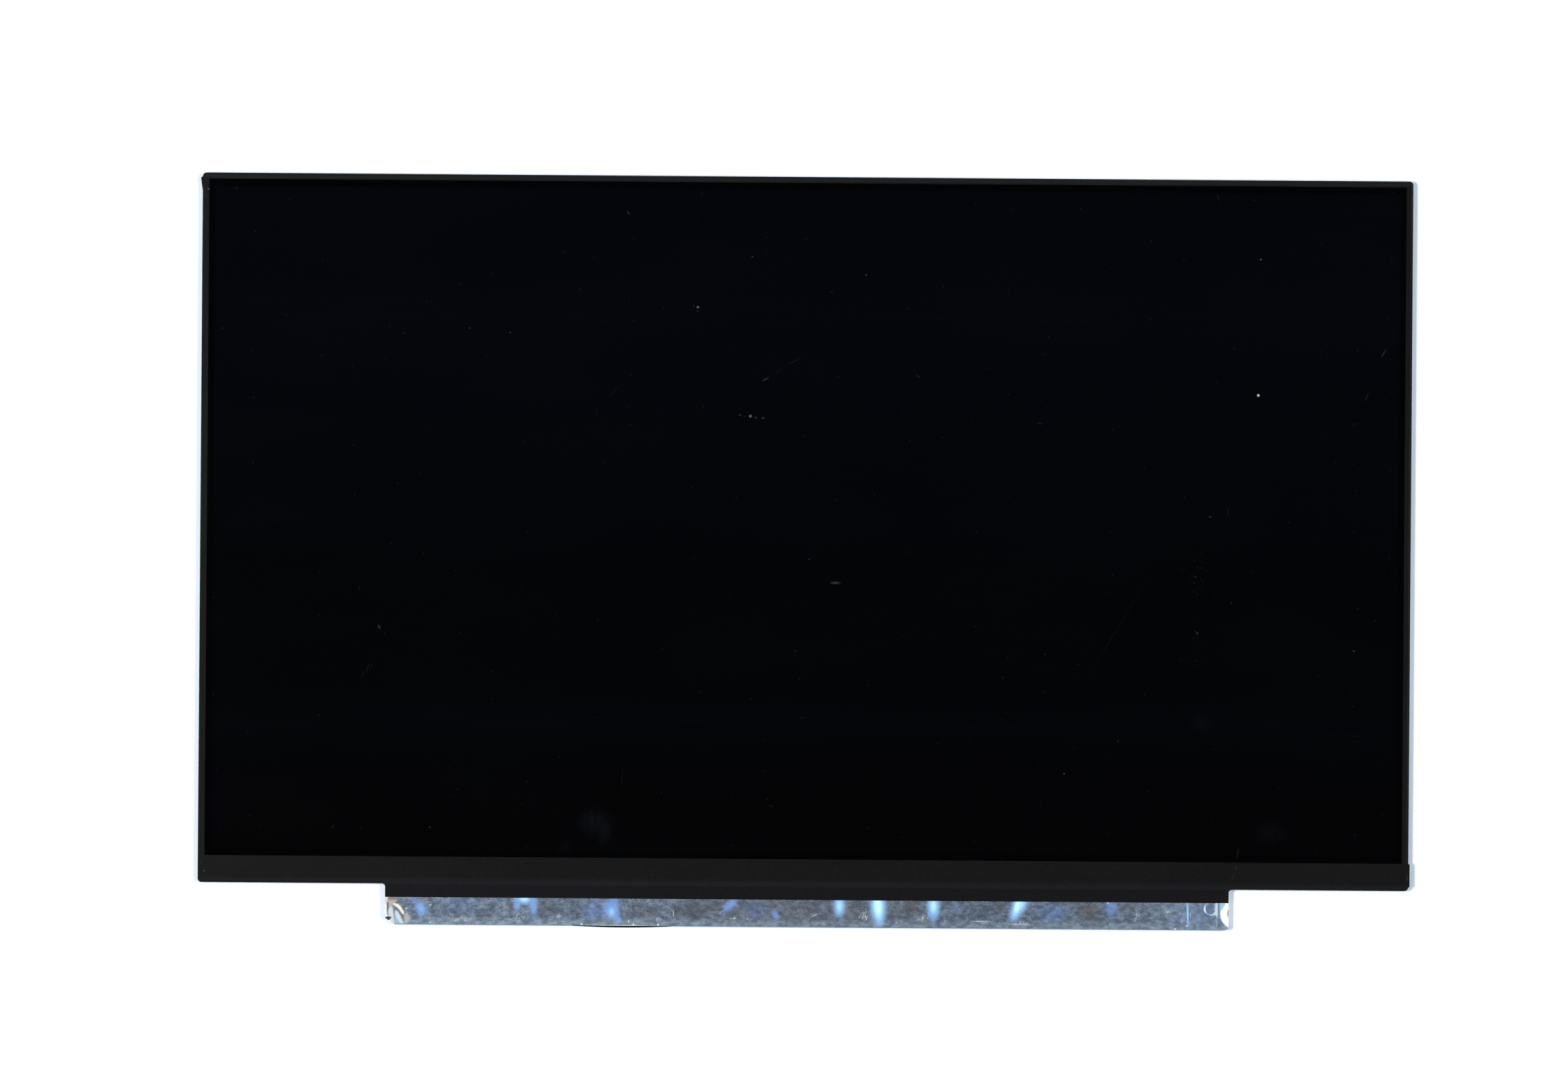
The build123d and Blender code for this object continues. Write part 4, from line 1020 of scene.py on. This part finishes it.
# Each speck of dust: its place, its radius and how pale it is on a scale of 255.
film_dust = [
    (117.8, 33.7, 0.46, 230), (-149.07, 85.78, 0.32, 34), (-17.3, 27.6, 0.42, 42),
    (-14.6, 27.3, 0.52, 104), (-13.2, 26.9, 0.38, 54), (-11.3, 26.8, 0.44, 50), (-16.2, 27.2, 0.32, 28),
    (-28.5, 55.6, 0.42, 112), (-29.6, 55.9, 0.27, 44), (-28.6, 54.6, 0.24, 52), (118.2, 69.1, 0.36, 76),
    (-14.4, 68.9, 0.3, 54), (15.3, 64.3, 0.32, 56), (105.5, 1.9, 0.32, 52), (1.0, -9.9, 0.32, 44),
    (143.2, -32.8, 0.38, 53), (148.7, -24.8, 0.27, 33), (144.1, -21.8, 0.27, 30),
    (111.2, -20.5, 0.3, 40), (62.7, -34.2, 0.27, 40), (-2.4, -33.9, 0.32, 33), (-13.9, -46.4, 0.27, 30),
    (51.7, -40.5, 0.27, 30), (67.9, -65.3, 0.34, 61), (-88.0, 49.7, 0.3, 46), (-77.4, 48.6, 0.3, 50),
    (-105.0, 48.4, 0.27, 40), (-152.3, 49.2, 0.24, 33), (-59.2, 60.0, 0.27, 40),
    (-45.9, 24.8, 0.24, 33), (-29.8, 8.5, 0.24, 30), (-106.5, 9.1, 0.24, 33), (81.9, -56.7, 0.28, 44),
    (-97.4, -80.5, 0.32, 44), (102.3, -28.4, 0.36, 56), (111.5, 45.8, 0.24, 33),
]

# Each scratch or rub: its middle, half length, half width, turn and how pale it is on a scale of 255.
film_scratches = [
    (-46.8, 80.1, 0.85, 0.2, -50, 54), (6.3, 59.9, 0.7, 0.18, 40, 30), (-3.4, 41.6, 3.0, 0.16, 25, 18),
    (-10.8, 36.9, 1.4, 0.22, 30, 51), (-7.5, 39.0, 2.2, 0.14, 35, 16), (-50.4, 33.2, 2.6, 0.18, 52, 13),
    (-26.9, 29.6, 1.2, 0.16, 75, 16), (29.1, 38.0, 1.0, 0.18, -35, 28),
    (46.9, 40.1, 0.8, 0.14, -20, 16), (60.8, 26.0, 1.2, 0.18, -15, 26),
    (107.0, 85.1, 1.6, 0.18, -72, 19), (150.4, 44.9, 1.8, 0.2, 60, 43),
    (146.1, 33.5, 1.7, 0.17, 62, 31), (142.5, 26.0, 1.2, 0.14, 62, 18),
    (138.0, 16.5, 0.8, 0.14, 65, 16), (110.1, 3.2, 1.4, 0.17, 78, 24), (81.4, -27.6, 20.0, 0.16, 59, 9),
    (7.9, -16.0, 1.8, 0.48, 0, 48), (-111.0, -28.4, 0.9, 0.42, -60, 42),
    (-113.9, -39.2, 2.2, 0.18, 75, 19), (-115.2, -40.8, 1.4, 0.18, 75, 16),
    (-112.9, -38.6, 1.5, 0.16, 70, 15), (-116.3, -18.2, 0.8, 0.18, 80, 20),
    (-47.35, -67.2, 4.6, 0.14, 88, 14), (113.4, -85.6, 2.2, 0.18, 76, 28),
    (-52.7, 14.7, 0.8, 0.18, 100, 16), (-83.5, 42.2, 1.2, 0.14, 60, 14),
    (-122.7, -80.6, 0.9, 0.26, 60, 22), (-152.3, -80.8, 0.5, 0.19, 60, 15),
    (-141.7, -80.7, 0.5, 0.18, 80, 15), (-115.2, -80.9, 0.7, 0.18, 70, 17),
    (-8.5, -74.3, 1.3, 0.28, 0, 18),
]

# Each patch of the fingerprint and the rubs beside it, and each cluster of flecks.
print_places = [
    (-54.2, -79.0, 6.2, 5.0, 0, 0.9), (-51.9, -81.0, 5.4, 2.6, 84, 1.0),
    (-61.8, -85.6, 3.6, 2.6, 50, 0.35), (122.1, -80.5, 5.5, 4.0, 0, 0.45),
    (103.6, -51.6, 4.8, 3.0, 0, 0.4),
]
fleck_places = [
    (102.4, -13.2, 8.0, 3.4, 90, 1.0), (102.2, -30.0, 10.5, 1.7, 90, 0.6),
]


def paler(marks):
    """The same marks with their paleness on the shader's own scale."""
    return [(*mark[:-1], shade(mark[-1], mark[-1], mark[-1])[0]) for mark in marks]


film = Finish("screen_film", gloss=0.1)
film_specks = film.specks(film_level, paler(film_dust))
film_strokes = film.strokes(paler(film_scratches))
film_streak = film.cloud((0.35, 2.2, 1.0), start=1.3)
film_print = film.times(film.strokes(print_places), film.spread(film_streak, 0.4, 1.0))
fleck_field = film.cloud((0.42, 0.46, 1000), detail=1, start=4.4)
film_flecks = film.times(film.strokes(fleck_places), film.level(fleck_field, 0.66, 0.74, 0.0, 0.02))
dust_apart = 9 * mm
dust_values = {"Vector": film.place, "Scale": (1 / dust_apart, 1 / dust_apart, 0.0)}
dust_cells = film.step("Mapping", dust_values).outputs["Vector"]
dust_field = film.step("TexVoronoi", {"Vector": dust_cells, "Scale": 1.0}, voronoi_dimensions="2D").outputs
dust_pick = film.step("SeparateColor", {0: dust_field["Color"]}).outputs["Red"]
dust_fine = film.level(dust_field["Distance"], 0.0, 0.022, 1.0, 0.0)
dust_fine = film.times(dust_fine, film.level(dust_pick, 0.6, 1.0, 0.0, 0.02))
film_marks = film.join("ADD", film.most(film_specks, film_strokes), film.join("ADD", film_flecks, dust_fine))

film_x, film_y = film.along("X"), film.along("Y")
film_lines = film.cloud((90, 0.5, 1000), detail=2)
film_haze = film.cloud((60, 22, 1000), detail=4, start=2.2)
wander_reach = 30 * mm
film_wander = film.join("ADD", film_y, film.times(film_haze, wander_reach))
film_top = film.level(film_wander, -10 * mm, 60 * mm)
film_foot = film.level(film_wander, -30 * mm, -62 * mm)
film_black = film.coats(shade(1.2, 2.2, 3.4), (film_top, (2.0, 3.0, 6.6)), (film_foot, (2.2, 1.8, 2.4)))
for band_y, band_half in ((54, 11), (-53, 9)):
    band_far = film.join("ABSOLUTE", film.join("SUBTRACT", film_y, band_y * mm), 0.0)
    band = film.times(film.level(band_far, 0.0, band_half * mm, 0.5, 0.0), film.level(film_lines, 0.35, 0.7))
    film_black = film.mix(band, film_black, shade(3.5, 5.0, 10.0))
film_rim = 0.0
for place, border in ((film_x, border_x), (film_y, border_y)):
    low, high = (border - border_soft) * mm, (border + border_soft) * mm
    film_rim = film.most(film.level(film.join("ABSOLUTE", place, 0.0), low, high), film_rim)
film.wear(
    colour=film.coats(
        film_black, (film_rim, (0.6, 0.6, 0.9)), (film_print, (12, 13, 18)), (film_marks, (255, 252, 248))
    ),
    roughness=film.spread(film_haze, 0.1, 0.15),
)
dress(film, "front_polariser")


# Studio: a plain white table with a soft lamp on each side of the panel and a camera straight above.
# The table lets light through from below, so that the underside can be looked at too.
table_reach = 8.0
table_level, table_clear = -0.05 * mm, 4 * mm
table_corners = [(-1, -1), (1, -1), (1, 1), (-1, 1)]
table_mesh = bpy.data.meshes.new("table")
table_points = [(x * table_reach, y * table_reach, table_level) for x, y in table_corners]
table_mesh.from_pydata(table_points, [], [(0, 1, 2, 3)])
table = add("table", table_mesh)
table_top = Finish("white_table", gloss=0.0, plain={"Roughness": 1.0, "Emission Strength": 1.0})
table_far = table_top.step("VectorMath", {0: table_top.place}, operation="LENGTH").outputs["Value"]
table_dull = table_top.level(table_far, 0.35, 1.2, 0.86, 0.0)
table_white = table_top.step("CombineColor", {0: table_dull, 1: table_dull, 2: table_dull}).outputs["Color"]
# The table glows: faintly bluish near the panel, which tints its shadow, and plain white further out.
glow_near, glow_far = (0.1, 0.16, 0.23, 1.0), (1.0, 1.0, 1.0, 1.0)
table_glow = table_top.mix(table_top.level(table_far, 0.28, 0.6), glow_near, glow_far)
table_top.feed(table_top.shader, {"Base Color": table_white, "Emission Color": table_glow})
table_under = table_top.step("NewGeometry").outputs["Backfacing"]
table_near = table_top.join("LESS_THAN", table_top.step("LightPath").outputs["Ray Length"], table_clear)
table_open = table_top.step("BsdfTransparent").outputs["BSDF"]
table_share = table_top.most(table_under, table_near)
table_shown = table_top.shader.outputs["BSDF"]
table_mixed = table_top.step("MixShader", {0: table_share, 1: table_shown, 2: table_open})
table_top.feed(table_top.tree.nodes["Material Output"], {"Surface": table_mixed.outputs["Shader"]})
table.data.materials.append(table_top.material)

lamp_lean = math.radians(30)
lamp_distance = 2.6
lamp_width, lamp_length = 0.4, 0.8
lamp_out, lamp_up = lamp_distance * math.sin(lamp_lean), lamp_distance * math.cos(lamp_lean)
for side, lamp_name, lamp_watts in ((-1, "left_lamp", 51.0), (1, "right_lamp", 24.0)):
    lamp = bpy.data.lights.new(lamp_name, "AREA")
    lamp.shape = "RECTANGLE"
    lamp.size = lamp_width
    lamp.size_y = lamp_length
    lamp.energy = lamp_watts
    lamp_stand = add(lamp_name, lamp)
    lamp_stand.location = (side * lamp_out, 0.0, lamp_up)
    lamp_stand.rotation_euler = (0.0, side * lamp_lean, 0.0)
    lamp_stand.visible_camera = False

studio = bpy.data.worlds.new("studio")
studio.use_nodes = True
bpy.context.scene.world = studio
walls = Steps(studio.node_tree)
walls_up = walls.step("SeparateXYZ", {0: walls.step("TexCoord").outputs["Generated"]}).outputs["Z"]
walls_seen = walls.mix(walls.level(walls_up, 0.45, 0.8), (1.0, 1.0, 1.0, 1.0), (0.08, 0.095, 0.12, 1.0))
walls_rays = walls.step("LightPath").outputs
walls_bright = walls.most(
    walls.join("LESS_THAN", walls_up, 0.0),
    walls_rays["Is Camera Ray"],
    walls_rays["Is Glossy Ray"],
    walls_rays["Is Transmission Ray"],
)
walls_light = walls.mix(walls_bright, (0.15, 0.165, 0.19, 1.0), walls_seen)
walls.feed(studio.node_tree.nodes["Background"], {"Color": walls_light})

camera = bpy.data.cameras.new("camera")
camera.sensor_width = 36.0
camera.lens = 200.0
camera.clip_end = 50.0
picture_width, picture_turn = 408.9 * mm, math.radians(0.436)
picture_x, picture_y = -5.6 * mm, -4.67 * mm
panel_top = 2.4 * mm
camera_stand = add("camera", camera)
camera_up = panel_top + picture_width * camera.lens / camera.sensor_width
camera_stand.location = (picture_x, picture_y, camera_up)
camera_stand.rotation_euler = (0.0, 0.0, picture_turn)
bpy.context.scene.camera = camera_stand
bpy.context.scene.view_settings.view_transform = "Standard"

bpy.context.view_layer.update()
